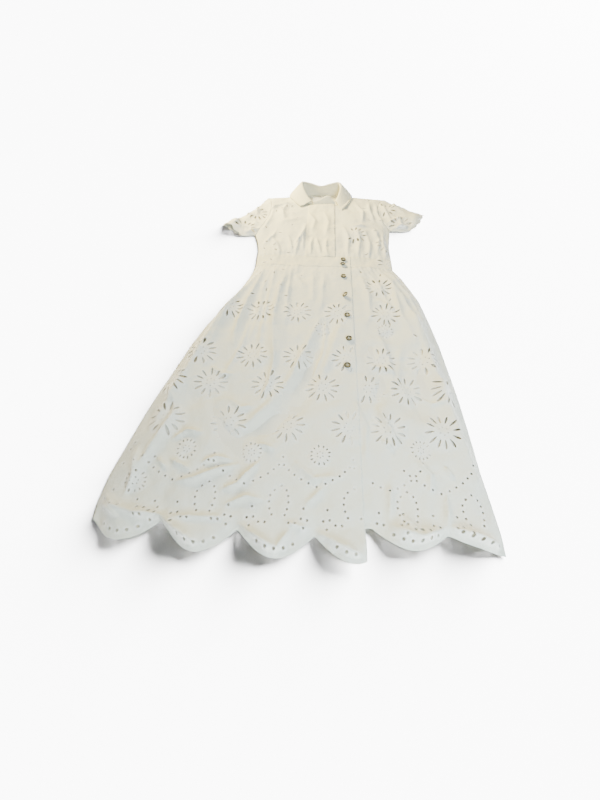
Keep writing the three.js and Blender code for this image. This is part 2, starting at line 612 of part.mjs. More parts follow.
function collarStand() {
  const seam = SECTIONS.map((s) => ({ u: s.seamU, v: s.seamV, z: seamLevel(s.seamV) }));
  const fold = SECTIONS.map((s) => ({ u: s.foldU, v: s.foldV, z: s.foldZ }));
  const between = (t) => seam.map((p, i) => ({
    u: mix(p.u, fold[i].u, t), v: mix(p.v, fold[i].v, t), z: mix(p.z, fold[i].z, t),
  }));
  return standingWall([seam, between(0.5), fold], CLOTH);
}

function collarFall() {
  const over = (s, t, lift) => {
    const [u, v] = [mix(s.foldU, s.edgeU, t), mix(s.foldV, s.edgeV, t)];
    const rest = v > frontTop(u) - 4 ? clothLevel(u, v) + FALL_REST : 0;
    const hang = mix(s.foldZ + FALL_LIFT, s.edgeZ, Math.pow(t, 1.15));
    return { u, v, z: Math.max(rest, hang) + lift };
  };
  const rows = (lift) => [1, 0.65, 0.3, 0].map((t) => SECTIONS.map((s) => over(s, t, lift)));
  return wall(rows(0), rows(1.6 * CLOTH));
}

function standFront() {
  const seam = (p) => frontTop(p.u) - 2 * SEAM;
  const base = STAND_FRONT.map((p) => ({ u: p.u, v: seam(p), z: seamLevel(seam(p)) }));
  const top = STAND_FRONT.map((p) => ({ u: p.u, v: seam(p) - p.lean, z: p.z }));
  const thick = (row) => row.map((p) => ({ ...p, v: p.v - CLOTH }));
  return wall([thick(base), thick(top)].reverse(), [base, top].reverse());
}

// ---------------------------------------------------------------- buttons

/** Highest point of a panel under a disc. */
function seatOf(panel, u, v, radius) {
  panel.updateMatrixWorld(true);
  const down = new THREE.Vector3(0, 0, -1);
  const places = [[0, 0], ...spread(0, 2 * Math.PI, 12).map((a) => [Math.cos(a), Math.sin(a)])];
  const heights = places.flatMap(([du, dv]) => {
    const start = new THREE.Vector3(u + du * radius, -v + dv * radius, 200);
    return new THREE.Raycaster(start, down).intersectObject(panel).map((hit) => hit.point.z);
  });
  return Math.max(...heights);
}

function buttonGeometry() {
  const { radius, foot, edge, height, rim, sides } = BUTTON;
  const dish = height - rim;
  const profile = [
    [0, 0], [foot, 0], [radius, edge], [radius - rim * 0.4, height],
    [radius - rim, height], [radius - 2 * rim, dish], [0, dish],
  ].map(([x, y]) => new THREE.Vector2(x, y));
  return new THREE.LatheGeometry(profile, sides).rotateX(Math.PI / 2);
}

function button(number, place, panel) {
  const tip = THREE.MathUtils.degToRad(place.tip);
  const body = mesh(`button_${number}`, buttonGeometry(), COLOURS.button, 0.45);
  const seat = seatOf(panel, place.u, place.v, BUTTON.radius);
  const drop = Math.max(
    BUTTON.foot * Math.sin(tip),
    BUTTON.radius * Math.sin(tip) - BUTTON.edge * Math.cos(tip),
  );
  body.rotation.y = tip;
  body.position.set(place.u, -place.v, seat + SEAM + drop);
  return body;
}

// ---------------------------------------------------------------- assembly

const garment = [
  mesh('back_bodice', flatPiece(backBodice(), BACK_CLOTH), COLOURS.cloth),
  mesh('back_skirt', flatPiece(backSkirt(), BACK_CLOTH), COLOURS.cloth),
  mesh('sleeve_right_back', flatPiece(outlineOf(sleeveLeft), BACK_CLOTH), COLOURS.cloth),
  mesh('sleeve_left_back', flatPiece(outlineOf(sleeveRight), BACK_CLOTH), COLOURS.cloth),
  mesh('front_bodice_right', pierced(bodiceOver, bodiceOverShown), COLOURS.cloth),
  mesh('front_bodice_left', pierced(bodiceUnder, bodiceUnderShown), COLOURS.cloth),
  mesh('front_strip', layer(strip, TRIM_CLOTH), COLOURS.plain),
  mesh('waistband_right', layer(bandOver, CLOTH), COLOURS.plain),
  mesh('waistband_left', layer(bandUnder, CLOTH), COLOURS.plain),
  mesh('front_skirt_right', pierced(skirtOver, skirtOver), COLOURS.cloth),
  mesh('front_skirt_left', pierced(skirtUnder, skirtUnderShown), COLOURS.cloth),
  mesh('sleeve_right_front', pierced(sleeveLeft, sleeveLeft), COLOURS.cloth),
  mesh('sleeve_left_front', pierced(sleeveRight, sleeveRight), COLOURS.cloth),
  mesh('collar_stand', collarStand(), COLOURS.plain),
  mesh('collar_stand_front', standFront(), COLOURS.plain),
  mesh('collar_fall', collarFall(), COLOURS.plain),
  mesh('label', flatPiece([
    [LABEL.u0, LABEL.v0], [LABEL.u1, LABEL.v0], [LABEL.u1, LABEL.v1], [LABEL.u0, LABEL.v1],
  ], TRIM_CLOTH, BED), COLOURS.label),
];
const byName = (name) => garment.find((piece) => piece.name === name);

BUTTONS.forEach((place, i) => {
  const panel = byName(place.v < SKIRT_TOP ? 'waistband_right' : 'front_skirt_right');
  garment.push(button(i + 1, place, panel));
});

const dress = new THREE.Group();
dress.add(...garment);
const box = new THREE.Box3().setFromObject(dress, true);
const middle = box.getCenter(new THREE.Vector3());
dress.position.set(-middle.x, -middle.y, -box.min.z);
dress.updateMatrixWorld(true);

export default dress;
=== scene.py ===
"""Shirt dress in white cotton eyelet cloth, laid flat on its back, built round its CAD part.

While it is drawn, u runs across the dress to the wearer's left, v runs down it from the high
point of the shoulder, and z stands up from the surface, all in millimetres.
"""

import json
import math
from collections import namedtuple

import bmesh
import bpy
import numpy as np
from bpy.props import FloatProperty, FloatVectorProperty, IntProperty, PointerProperty
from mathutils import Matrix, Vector, noise
from mathutils.geometry import delaunay_2d_cdt
from mathutils.kdtree import KDTree

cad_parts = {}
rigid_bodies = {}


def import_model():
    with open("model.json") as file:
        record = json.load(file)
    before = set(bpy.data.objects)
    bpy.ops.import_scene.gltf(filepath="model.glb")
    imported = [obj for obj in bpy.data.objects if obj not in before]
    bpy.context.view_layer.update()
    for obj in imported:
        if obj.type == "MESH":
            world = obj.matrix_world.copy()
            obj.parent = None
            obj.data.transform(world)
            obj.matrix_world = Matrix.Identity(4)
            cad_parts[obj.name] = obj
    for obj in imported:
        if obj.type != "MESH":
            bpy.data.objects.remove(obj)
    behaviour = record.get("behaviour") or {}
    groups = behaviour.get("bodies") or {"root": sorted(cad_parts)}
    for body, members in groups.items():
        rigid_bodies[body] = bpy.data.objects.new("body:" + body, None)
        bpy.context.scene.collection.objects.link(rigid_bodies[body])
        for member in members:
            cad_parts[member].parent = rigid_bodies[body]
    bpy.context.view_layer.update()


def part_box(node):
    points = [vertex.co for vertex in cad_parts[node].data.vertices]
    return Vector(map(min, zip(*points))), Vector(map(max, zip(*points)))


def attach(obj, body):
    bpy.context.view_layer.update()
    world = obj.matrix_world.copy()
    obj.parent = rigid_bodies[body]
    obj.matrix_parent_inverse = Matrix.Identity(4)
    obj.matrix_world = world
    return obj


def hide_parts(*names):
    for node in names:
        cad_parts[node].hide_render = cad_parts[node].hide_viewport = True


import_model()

bl_info = {
    "name": "Eyelet Shirt Dress",
    "version": (1, 0, 0),
    "blender": (4, 5, 0),
    "location": "View3D > Sidebar > Dress",
    "description": "Cotton eyelet shirt dress laid flat, as thin cloth with cut and sewn eyelets",
    "category": "Add Mesh",
}

# ---------------------------------------------------------------- sizes of the cut

MM = 0.001
FAR = 1e9
BACK_CLOTH = 1.4                  # depth of the back panels in the CAD part
FRONT_CLOTH = 1.3                 # depth of its front panels
SEAM = 0.3                        # gap between its pieces
BED = BACK_CLOTH + SEAM           # where the front lies on the back
BAND_TOP = 388
BAND_FOOT = 430.7
SEWN_GAP = 0.06                   # gap between two panels that are sewn to each other
BODICE_FOOT = BAND_TOP - SEWN_GAP
SKIRT_TOP = BAND_FOOT + SEWN_GAP
WAIST_LEFT, WAIST_RIGHT = -207, 192
HEM_START = 1080
HEM_LEFT, HEM_RIGHT = -405, 302   # ends of the hem at the back
SIDE_FOOT = 1120                  # foot of its sides
BODICE_EDGE = 25                  # closing edge of the over side, in the bodice
BODICE_UNDERLAP = 4               # and the hidden edge of the under side
SKIRT_EDGE = 70                   # the same two in the waistband and the skirt
SKIRT_UNDERLAP = 42
STRIP_EDGE = -65                  # other edge of the centre strip
SHOULDER_ENDS = (-212, 203)
BODICE_GATHERED = (290, 387)      # from here to here the bodice needs more points
BODICE_PIERCED_FROM = 58          # the cloth nearer the closing edge is plain
BAND_PIERCED = (-128, 84)         # and so is the waistband between these
STRIP_CLOTH, BAND_CLOTH = 0.4, 1.1
STRIP_LIFT = 0.86                 # underside of the centre strip over that of the bodice
STITCH_LIFT = 0.05                # middle of a stitch over the cloth
HEM_STITCH_IN, FALL_STITCH_IN = 5.6, 5

# Shape of the front: it curves down to the back near a closed edge, and its creases fade.
EDGE_ROUND = 46
EDGE_FADE = 16
LEAST_GAP = 0.05                  # it stays this far over the back's place
OVERLAP, OVERLAP_EASE = 1.0, 30   # how far the over side lies above the under side
HEM_LIFT, HEM_LIFT_EASE = 2.5, 12  # further lift of the over side at the hem
HEM_FALL, HEM_FALL_FROM = 6.0, 34  # how far the hem droops, and over what distance
BOUND_WIDTH, BOUND_DEPTH = 6.4, 0.45  # turned and stitched edge of the hem
BOUND_ROWS = (2.2, 6.2, 8.4)      # rows of points that draw the bound edge

# Shape of the back, which follows the front a little away from its sides, waist and hem.
BACK_LEVEL = 0.02
BACK_RISE = 0.75                  # share of the front's rise
BACK_CREASES, BACK_CREASE_MOST = 0.18, 0.42  # share of its creases, and the most they reach
BACK_SIDE_FLAT, BACK_SIDE_EASE, BACK_WAIST_EASE, BACK_HEM_EASE = 12, 40, 120, 110
BACK_NECK_V, BACK_NECK_SAG, BACK_NECK_TILT = 14, 20, 5
BACK_HEM_IN = 3

# Creases: how much their tables' heights and widths are multiplied, and how they fade.
CREASE_LIFT = 2.9
BODICE_CREASES = 1.15             # the bodice is sharper than the skirt
SLEEVE_CREASES = 0.8
SLEEVE_START = 182                # beyond this distance from the middle it is a sleeve
LOW_CREASES = 1.3                 # the skirt is sharper near the hem
LOW_CREASES_FROM = 860
CREASE_SPREAD = 0.85
CREASE_POWER = 1.5
CREASE_END = 0.02
GATHER_POWER = 1.5
LEAST_SPREAD = 0.5                # least widening of the gathers with the skirt

# Unevenness of worn cloth: height, size across and down, and which slice of the noise.
RUMPLES = ((3.0, 52, 60, 3.1), (2.3, 23, 27, 8.7), (0.9, 9, 10, 5.3))

# Distances between the points of a panel.
OUTLINE_STEP = 4.5
ROW_PITCH = 0.866                 # rows of even triangles, for each step along a row
POINT_SPACING = 2.0
FIXED_SPACING = 1.7               # least distance to an edge or a rim
RIM_TO_EDGE = 2.6
DAISY_SEWN = 0.3                  # how white the embroidery between the petals is

# Finish and slot of each cloth.
LAWN = ("eyelet_cotton_lawn", "cloth")
# The back lawn's colour is darker than the front's: painted shade inside the eyelets.
SHADED_BACK_LAWN = ("back_cotton_lawn", "cloth")
POPLIN = ("plain_cotton_poplin", "plain_cloth")

# Outlines as (v, u): the sides of the bodice and of the skirt.
BODICE_LEFT = np.array([
    (38, -214), (50, -212), (80, -197), (115, -190), (150, -190), (190, -194), (230, -204),
    (262, -219), (277, -228), (310, -217), (356, -208), (431, -207),
])
BODICE_RIGHT = np.array([
    (38, 204), (43, 203), (62, 186), (85, 176), (120, 172), (160, 173), (195, 180), (215, 190),
    (231, 203), (260, 199), (322, 191), (431, 192),
])
SKIRT_LEFT = np.array([
    (431, -207), (465, -213), (518, -231), (581, -261), (677, -305), (737, -326), (803, -344),
    (871, -364), (930, -379), (998, -393), (1058, -406), (1115, -410), (1190, -402),
])
SKIRT_RIGHT = np.array([
    (431, 192), (470, 214), (555, 248), (636, 263), (713, 275), (856, 289), (945, 294),
    (1024, 297), (1080, 302), (1133, 306), (1190, 303),
])
SHOULDER_LEFT, SHOULDER_RIGHT = 50, 43
UNDERARM_LEFT, UNDERARM_RIGHT = 277, 231

# Scallops as (from u, to u, v of the first notch, v of the second, depth).
SCALLOPS_OVER = [
    (-415, -282, 1133, 1137, 37), (-282, -149, 1137, 1145, 42),
    (-149, -15.5, 1145, 1149, 39), (-15.5, 117, 1149, 1150, 38),
]
SCALLOPS_UNDER = [(0, 82, 1125, 1131, 6), (82, 211, 1131, 1137, 29), (211, 330, 1137, 1168, 4)]

NECK_U, NECK_V, NECK_ACROSS, NECK_DOWN = -18, 62, 100, 43
NECK_END = 0.98                   # beyond this share of its width it is the shoulder seam
SHOULDERS = np.array([(-240, 53), (-212, 50), (-119, 38), (83, 29), (203, 43), (240, 47)])

# Sleeves in sections out from the armhole: (top u, top v, foot u, foot v, bow).
SLEEVE_RIGHT = [
    (-226, 84, -236, 278, 0), (-242, 114, -243, 279, 4), (-273, 160, -256, 281, 8),
    (-304, 190, -263, 282, 9), (-340, 215, -269, 281, 4),
]
SLEEVE_LEFT = [
    (219, 61, 217, 232, 0), (237, 79, 232, 233, 5), (265, 98, 245, 232, 10),
    (293, 114, 254, 231, 12), (321, 130, 261, 229, 10),
]

# Height of the front over the back, as (v, z).
FULLNESS = np.array([
    (0, 7), (110, 9), (250, 10), (340, 8), (431, 6), (520, 9), (700, 11), (900, 11),
    (1080, 8), (1190, 11),
])

# Largest folds, as in the CAD part: (u, v, u, v, width, height).
FOLDS = [
    (-186, 464, -262, 640, 26, 6), (-262, 640, -319, 848, 30, 8), (-319, 848, -360, 1050, 24, 6),
    (-136, 470, -122, 764, 24, 7), (-168, 560, -190, 760, 26, -5), (11, 650, -55, 864, 34, -7),
    (-55, 864, -123, 952, 34, -6), (-220, 930, -250, 1090, 30, 5), (-318, 848, -282, 902, 14, -4),
    (20, 900, 35, 1100, 30, 4), (177, 484, 217, 646, 24, 6), (217, 646, 249, 843, 24, 8),
    (249, 843, 284, 1034, 20, 7), (150, 700, 190, 900, 26, -6), (120, 905, 240, 950, 24, 5),
    (-362, 1150, -338, 1166, 34, 9), (-222, 1168, -202, 1168, 30, 8), (-92, 1172, -72, 1172, 28, 6),
    (48, 1172, 68, 1172, 30, 8), (138, 1150, 166, 1150, 30, 9), (236, 1136, 262, 1146, 24, 5),
    (-128, 190, -112, 262, 44, 6), (104, 180, 98, 250, 40, 6), (-238, 150, -292, 232, 24, 9),
    (-322, 222, -300, 240, 18, 8), (228, 120, 276, 178, 24, 7), (300, 146, 284, 184, 18, 6),
]

# Smaller creases, listed one by one: width, height, then the points they run through.
CREASES = [
    (14, 1.2, (-48, 112), (-12, 114), (26, 112)), (7, 2.2, (-176, 452), (-200, 560), (-226, 700)),
    (7, 2.4, (-146, 452), (-152, 560), (-160, 700), (-150, 800)),
    (7, 2.0, (-100, 452), (-104, 560), (-100, 660)),
    (8, 2.4, (-215, 500), (-250, 620), (-280, 760)),
    (7, 2.0, (-190, 640), (-200, 740), (-230, 840)),
    (8, 2.4, (150, 452), (200, 560), (236, 700), (258, 830)),
    (7, 2.0, (172, 452), (216, 540), (250, 650)), (7, 2.0, (120, 452), (150, 540), (176, 640)),
    (15, -1.4, (20, 660), (-30, 790), (-80, 880)), (14, 2.0, (-30, 700), (-76, 830), (-160, 950)),
    (17, -2.2, (-170, 980), (-110, 940), (-50, 900)),
    (15, -2.2, (-250, 880), (-210, 960), (-150, 1030)),
    (14, -2.0, (100, 700), (126, 820), (100, 920)), (12, 2.2, (178, 720), (160, 830), (196, 930)),
    (15, -2.2, (226, 700), (212, 820), (240, 930)),
    (9, 3.4, (-186, 464), (-228, 556), (-262, 640), (-292, 748), (-319, 848), (-346, 960)),
    (9, 3.2, (-114, 481), (-127, 550), (-134, 638), (-130, 705)),
    (10, 2.8, (-154, 454), (-173, 540), (-173, 652), (-186, 730)),
    (7, 2.0, (-86, 480), (-63, 520)), (9, 1.8, (-40, 463), (-36, 584)),
    (9, 1.6, (-7, 461), (-14, 602)), (6, 2.4, (0, 640), (-1, 700), (-6, 750), (-29, 823)),
    (9, 2.8, (-241, 543), (-274, 633), (-286, 700)),
    (10, 3.0, (-206, 568), (-223, 710), (-214, 760)),
    (7, 3.0, (-130, 705), (-119, 781), (-124, 846), (-140, 900)),
    (14, 2.6, (40, 640), (8, 760), (-22, 862)), (12, 2.6, (-14, 640), (-58, 770), (-84, 850)),
    (13, 2.2, (-100, 880), (-150, 940), (-182, 962)), (8, 2.4, (131, 563), (175, 610)),
    (9, 3.0, (176, 500), (189, 633), (215, 714)), (8, 2.4, (231, 505), (252, 617)),
    (7, 2.6, (103, 784), (154, 804)),
    (8, 3.0, (217, 646), (236, 760), (249, 843), (268, 940), (284, 1034)),
    (9, 2.2, (96, 470), (112, 560), (110, 640)), (10, 2.4, (122, 660), (146, 760), (150, 840)),
    (5, 2.2, (-320, 1027), (-298, 1046)), (5, 2.4, (-294, 1029), (-252, 1047)),
    (6, 3.0, (-272, 1070), (-240, 1063), (-202, 1044), (-165, 1032)),
    (5, 2.8, (-186, 1080), (-160, 1068), (-124, 1023)),
    (9, 3.6, (-307, 920), (-325, 978), (-353, 1058)), (6, 3.0, (-399, 1113), (-353, 1136)),
    (5, 2.2, (-329, 1122), (-282, 1132)), (8, 5.4, (-292, 1124), (-258, 1146), (-212, 1170)),
    (7, 3.6, (-400, 1096), (-372, 1118), (-330, 1128), (-296, 1132)),
    (7, 3.4, (-146, 1136), (-118, 1152), (-84, 1176)),
    (7, 3.2, (-14, 1142), (22, 1158), (62, 1176)), (8, 4.2, (120, 1128), (160, 1142), (206, 1126)),
    (8, 4.6, (214, 1124), (256, 1134), (300, 1150)),
    (6, 3.0, (-364, 1010), (-352, 1060), (-360, 1096)),
    (5, 2.8, (-232, 1032), (-206, 1020), (-178, 1024)),
    (5, 2.6, (-300, 986), (-276, 968), (-246, 972)),
    (5, 2.6, (-172, 1104), (-140, 1090), (-112, 1094)), (6, 2.2, (-269, 1131), (-176, 1127)),
    (5, 2.4, (-127, 1148), (-79, 1170), (-59, 1142)), (6, 2.8, (110, 902), (142, 973)),
    (5, 2.0, (113, 968), (134, 989)), (5, 2.4, (226, 1016), (238, 1038)),
    (7, 2.2, (122, 1055), (114, 1112)), (6, 2.2, (221, 1071), (211, 1121)),
    (5, 2.6, (-131, 987), (-101, 998)), (5, 1.8, (-32, 1138), (-63, 1130)),
    (5, 2.0, (142, 1110), (163, 1142)), (7, 2.0, (-2, 1067), (-33, 1100)),
    (6, 2.0, (-342, 868), (-318, 902), (-306, 948)),
    (6, 2.2, (-262, 806), (-232, 828), (-206, 826)),
    (7, 1.9, (-204, 890), (-178, 912), (-150, 905)), (7, 1.8, (60, 880), (84, 940), (78, 1010)),
    (8, 1.8, (-60, 1020), (-20, 1052), (30, 1046)), (6, 2.2, (196, 860), (226, 880), (262, 876)),
    (6, 2.0, (172, 1000), (196, 1034), (192, 1070)), (7, 2.6, (-95, 330), (-82, 304), (-74, 270)),
    (7, 2.4, (-123, 291), (-112, 330), (-102, 378)), (7, 2.2, (-69, 224), (-74, 290), (-73, 357)),
    (7, 2.4, (-34, 300), (-26, 340), (-18, 376)), (6, 2.0, (-44, 296), (-50, 336), (-48, 380)),
    (7, 2.4, (-86, 307), (-96, 388)), (6, 2.0, (-2, 300), (-4, 350), (2, 384)),
    (9, 0.8, (-156, 226), (-124, 214), (-91, 196)), (6, 1.8, (71, 236), (96, 236), (124, 233)),
    (8, 2.4, (52, 240), (66, 300), (60, 372)), (8, 2.2, (92, 250), (100, 310), (92, 380)),
    (8, 2.2, (120, 262), (130, 320), (124, 384)), (7, 2.2, (-182, 130), (-186, 200), (-204, 262)),
    (7, 2.0, (166, 84), (164, 150), (182, 214)), (8, 3.0, (-272, 166), (-250, 200), (-225, 232)),
    (7, 2.6, (-318, 216), (-296, 232), (-276, 262)), (6, 2.8, (200, 95), (240, 104), (288, 117)),
    (7, 2.4, (208, 150), (236, 190), (240, 222)), (7, 2.0, (-160, 260), (-170, 300), (-196, 330)),
    (8, 2.6, (-140, 108), (-150, 160), (-140, 212)),
    (8, 2.4, (-176, 300), (-150, 346), (-140, 384)),
    (7, 2.2, (-126, 100), (-170, 116), (-198, 148)), (9, 2.0, (-60, 160), (-40, 210), (-48, 262)),
    (8, 1.8, (-10, 150), (4, 214), (-4, 280)), (7, 2.4, (96, 92), (118, 150), (112, 214)),
    (7, 2.2, (142, 78), (140, 140), (152, 196)), (8, 2.4, (146, 240), (160, 300), (150, 368)),
    (7, 2.2, (176, 262), (172, 320), (178, 372)), (6, 3.2, (186, 84), (192, 130), (206, 180)),
    (6, 3.0, (222, 84), (228, 120), (252, 150)), (7, 3.4, (196, 200), (228, 182), (262, 176)),
    (6, 3.0, (214, 226), (240, 214), (262, 216)), (6, 2.8, (-222, 100), (-236, 140), (-232, 190)),
    (6, 3.0, (-214, 250), (-240, 262), (-262, 276)),
    (6, 2.6, (-296, 190), (-286, 214), (-290, 244)),
]

# Gathers: place along the waist seam, width, height and length.
SKIRT_GATHERS = [
    (-200, 4, 1.8, 60), (-189, 4.5, 2.2, 95), (-177, 4, 1.6, 50), (-163, 5.5, 2.6, 130),
    (-150, 4, 1.8, 70), (-139, 5, 2.4, 110), (-126, 4, 1.5, 60), (-113, 5, 2.2, 95),
    (-99, 6, 1.7, 80), (-83, 5, 1.3, 60), (-58, 6, 1.0, 55), (-31, 6, 0.9, 60), (-6, 6, 0.8, 50),
    (84, 5, 1.5, 60), (97, 5, 2.0, 90), (110, 4, 1.6, 60), (122, 6, 2.6, 120),
    (135, 4, 1.8, 70), (147, 5, 2.4, 110), (160, 4, 1.6, 60), (172, 5, 2.2, 90),
    (184, 4, 1.6, 60),
]
INTO_BAND = 13                    # how far the gathers carry on into the waistband
BODICE_GATHERS = [
    (-200, 4, 1.3, 40), (-187, 4, 1.9, 70), (-173, 4, 1.5, 50), (-158, 5, 2.2, 90),
    (-143, 4, 1.6, 55), (-129, 5, 2.2, 95), (-114, 5, 2.3, 110), (-60, 5, 1.2, 70),
    (-36, 5, 1.4, 80), (-10, 5, 1.2, 60), (48, 5, 1.4, 60), (62, 4, 2.0, 90), (78, 5, 1.6, 60),
    (93, 5, 2.2, 100), (108, 4, 1.6, 70), (124, 5, 2.0, 90), (140, 4, 1.5, 50),
    (156, 5, 1.9, 75), (172, 4, 1.3, 50),
]

# Eyelet daisies as (v, places across).
LARGE_DAISIES = [
    (945, [-324, -196, -77, 48, 127, 235]), (850, [-341, -253, -127, -7, 92, 176, 262]),
    (769, [-291, -172, -64, 49, 128, 224]), (622, [-247, -169, -74, 30, 150]), (520, [140]),
    (405, [184]), (322, [184]), (280, [86]), (257, [-263]), (174, [-234]), (208, [238]),
    (126, [194]),
]
SMALL_DAISIES = [(1006, [-269, -142, -9]), (985, [187]), (1073, [-349]), (676, [-9, 146])]
DAISY_PETALS, DAISY_INNER, DAISY_OUTER, DAISY_WIDTH = 12, 17.5, 37, 4.8
SLEEVE_PETAL_WIDTH = 5.6
SMALL_PETALS, SMALL_INNER, SMALL_OUTER, SMALL_WIDTH = 13, 14.5, 20.5, 3.2
SMALL_RIM, MIDDLE_RIM = 0.8, 0.7
MIDDLE_DOTS = 6                   # round eyelets in the middle of a daisy
DAISY_DOTS, SMALL_DOTS = (9, 1.3), (6, 1.2)  # how far out they are, and their radius
SLEEVE_DAISIES = 190              # beyond this distance from the middle they are on a sleeve

# Cockling of the cloth: kind of daisy, its radius and the height of its middle.
COCKLES = ((LARGE_DAISIES, DAISY_OUTER, 1.5), (SMALL_DAISIES, 20, 0.9))
COCKLE_MIDDLE, COCKLE_RING, COCKLE_RING_WIDTH, COCKLE_SINK = 0.55, 1.1, 0.25, 0.7
SEWN_BEYOND, SEWN_EASE = 2, 6     # embroidery beyond the petals, and how softly it ends

# Half a petal and back: places along it and half widths, as shares.
PETAL_ALONG = np.array([0, 0.14, 0.38, 0.64, 0.86, 1, 0.86, 0.64, 0.38, 0.14])
PETAL_ACROSS = np.array([0, 0.45, 0.86, 1, 0.72, 0, -0.72, -1, -0.86, -0.45])
POINT_GROWTH = 1.3                # a rim is wider at the points of its petal

# Single petals where the rest of a daisy is lost in the gathers: (u, v, direction in degrees).
SINGLE_PETALS = [
    (-154, 134, 48), (-137, 122, 86), (-121, 117, 95), (-148, 278, 22), (-199, 64, 54),
    (-171, 150, 80), (-159, 340, 162), (-155, 363, 35), (-191, 351, 65), (-188, 322, 27),
    (-165, 406, 38), (-182, 418, 178), (-123, 458, 168), (-147, 482, 85), (-115, 372, 178),
    (-112, 167, 159), (124, 121, 17), (120, 52, 16), (136, 192, 25), (119, 371, 162),
    (151, 464, 102), (146, 57, 109), (-197, 565, 136), (-163, 542, 97), (-155, 593, 107),
    (-177, 613, 11), (212, 698, 40), (-168, 514, 125), (-123, 535, 178), (-108, 569, 25),
    (-186, 479, 120), (96, 452, 60), (-196, 247, 70), (150, 262, 30), (168, 566, 120),
]
SINGLE_LENGTH, SINGLE_WIDTH = 13, 3.6
SINGLE_DOTS = [
    (-375, 998), (-380, 1012), (-346, 1028), (-326, 1025), (-357, 1038), (-385, 1040),
    (-385, 1090), (-394, 1108), (-388, 1124), (-374, 1116), (-361, 1117), (-335, 1105),
    (-330, 1118), (-318, 1118), (-295, 1116), (-71, 220), (-98, 196), (-92, 330), (-104, 352),
    (-71, 475), (138, 387), (179, 227), (172, 196), (68, 536), (76, 590), (-112, 238),
]

# Round eyelets of the border, measured from a notch or from the middle of a scallop.
WAVE = [(-62, 1028), (-52, 1037), (-41, 1046), (-28, 1054), (-14, 1061), (1, 1067), (17, 1061),
        (30, 1054), (43, 1046), (53, 1037), (62, 1028), (69, 1012)]
CLUSTER = [(14, 1125), (25, 1123), (35, 1131), (46, 1131), (21, 1106), (20, 1138)]
RING = [(3, 1067), (-9, 1075), (13, 1075), (-16, 1085), (17, 1085), (-17, 1096), (18, 1096),
        (-15, 1108), (16, 1108), (-10, 1118), (13, 1118)]
SINGLE_RADIUS, WAVE_RADIUS, CLUSTER_RADIUS, HEM_EYELET_RADIUS = 2.1, 2.2, 2.3, 2.8
SCALLOP_MIDDLES = [-348, -215, -82, 51, 147, 262]
NOTCHES = [-282, -149, -15.5, 117, 211]
HEM_EYELET_PITCH, HEM_EYELET_IN = 15, 14

# Collar in sections from the wearer's right front end round the back to the left one:
# seam u, v, fold u, v, z, free edge u, v, z.
COLLAR = np.array([
    (-52, 100, -57, 97, 18, -93, 121, 10), (-90, 86, -76, 72, 27, -115, 90, 9),
    (-108, 62, -89, 42, 38, -132, 56, 7), (-97, 38, -90, 22, 43, -129, 26, 6),
    (-66, 25, -64, 18, 38, -84, 0, 6), (-20, 21, -26, 22, 31, -26, -4, 5),
    (28, 24, 12, 17, 38, 34, -2, 6), (60, 38, 36, 20, 43, 80, 20, 6),
    (72, 62, 44, 42, 38, 84, 54, 7), (56, 86, 37, 73, 27, 68, 100, 9),
    (32, 96, 28, 94, 18, 48, 138, 10),
], float)
COLLAR_SECTIONS = 151
STAND_FRONT = np.array([(-48, 19, 2), (-30, 24, 8), (-4, 34, 17), (12, 27, 10), (26, 19, 2)], float)
STAND_SEAM_RISE, STAND_SEAM_FROM, STAND_SEAM_EASE = 9, 40, 50
STAND_CLOTH, STAND_BULGE = 1.0, 1.4
FALL_CLOTH, FALL_LIFT = 1.5, 1.7
FOLD_RISE, FALL_POWER = 0.6, 1.15
FALL_RESTS, FALL_GAP = 4, 1.2     # where the fall rests on the front, and how far over it
FOLD_ROLL = ((2.4, -3.0), (2.1, -0.6), (1.3, 0.9), (0.5, 1.3))  # inwards and up at the fold

LABEL_BOX = (-52, 8, 34, 66)
LABEL_CLOTH, LABEL_LEVEL, LABEL_WAVE = 0.5, 0.6, 0.35

MOUTH_WAVES, MOUTH_WAVE = 3.5, 6  # waves along the mouth of a sleeve, and their depth

# Buttons as (u, v, tip, direction of the tip, both in degrees), and their turned profile.
BUTTONS = [
    (48, 401, 0, 0), (46, 422.5, 16, 95), (47, 477, 0, 0), (50, 558, 42, 175), (53, 630, 0, 0),
    (55, 709, 0, 0), (49, 790, 0, 0),
]
BUTTON_RADIUS, BUTTON_FOOT, BUTTON_EDGE, BUTTON_HEIGHT, BUTTON_RIM = 7.8, 5.5, 1.5, 3.4, 1.3
BUTTON_TURN = 37                  # degrees that each is turned on from the one before
DISH_LEVEL, DISH_DEPTH, DISH_RADIUS = BUTTON_HEIGHT - BUTTON_RIM, 0.25, BUTTON_RADIUS - 2.5
DISH_RINGS = (3.6, 4.5)
BUTTON_HOLE, BUTTON_HOLE_OFF, BUTTON_HOLE_SIDES, BUTTON_HOLE_DEPTH = 0.85, 1.75, 10, 1.4
BUTTON_PROFILE = [
    (0.01, 0), (BUTTON_FOOT, 0), (BUTTON_RADIUS - 0.5, 0.9), (BUTTON_RADIUS - 0.1, 1.3),
    (BUTTON_RADIUS, 1.8), (BUTTON_RADIUS - 0.12, 2.7), (BUTTON_RADIUS - 0.5, 3.2),
    (BUTTON_RADIUS - 1.0, BUTTON_HEIGHT), (BUTTON_RADIUS - 1.5, 3.25),
    (BUTTON_RADIUS - 2.1, 2.7), (DISH_RADIUS, DISH_LEVEL + 0.05),
]
THREAD_BAR = (2.1, 0.42, 0.12)    # half length, half thickness and height over the dish

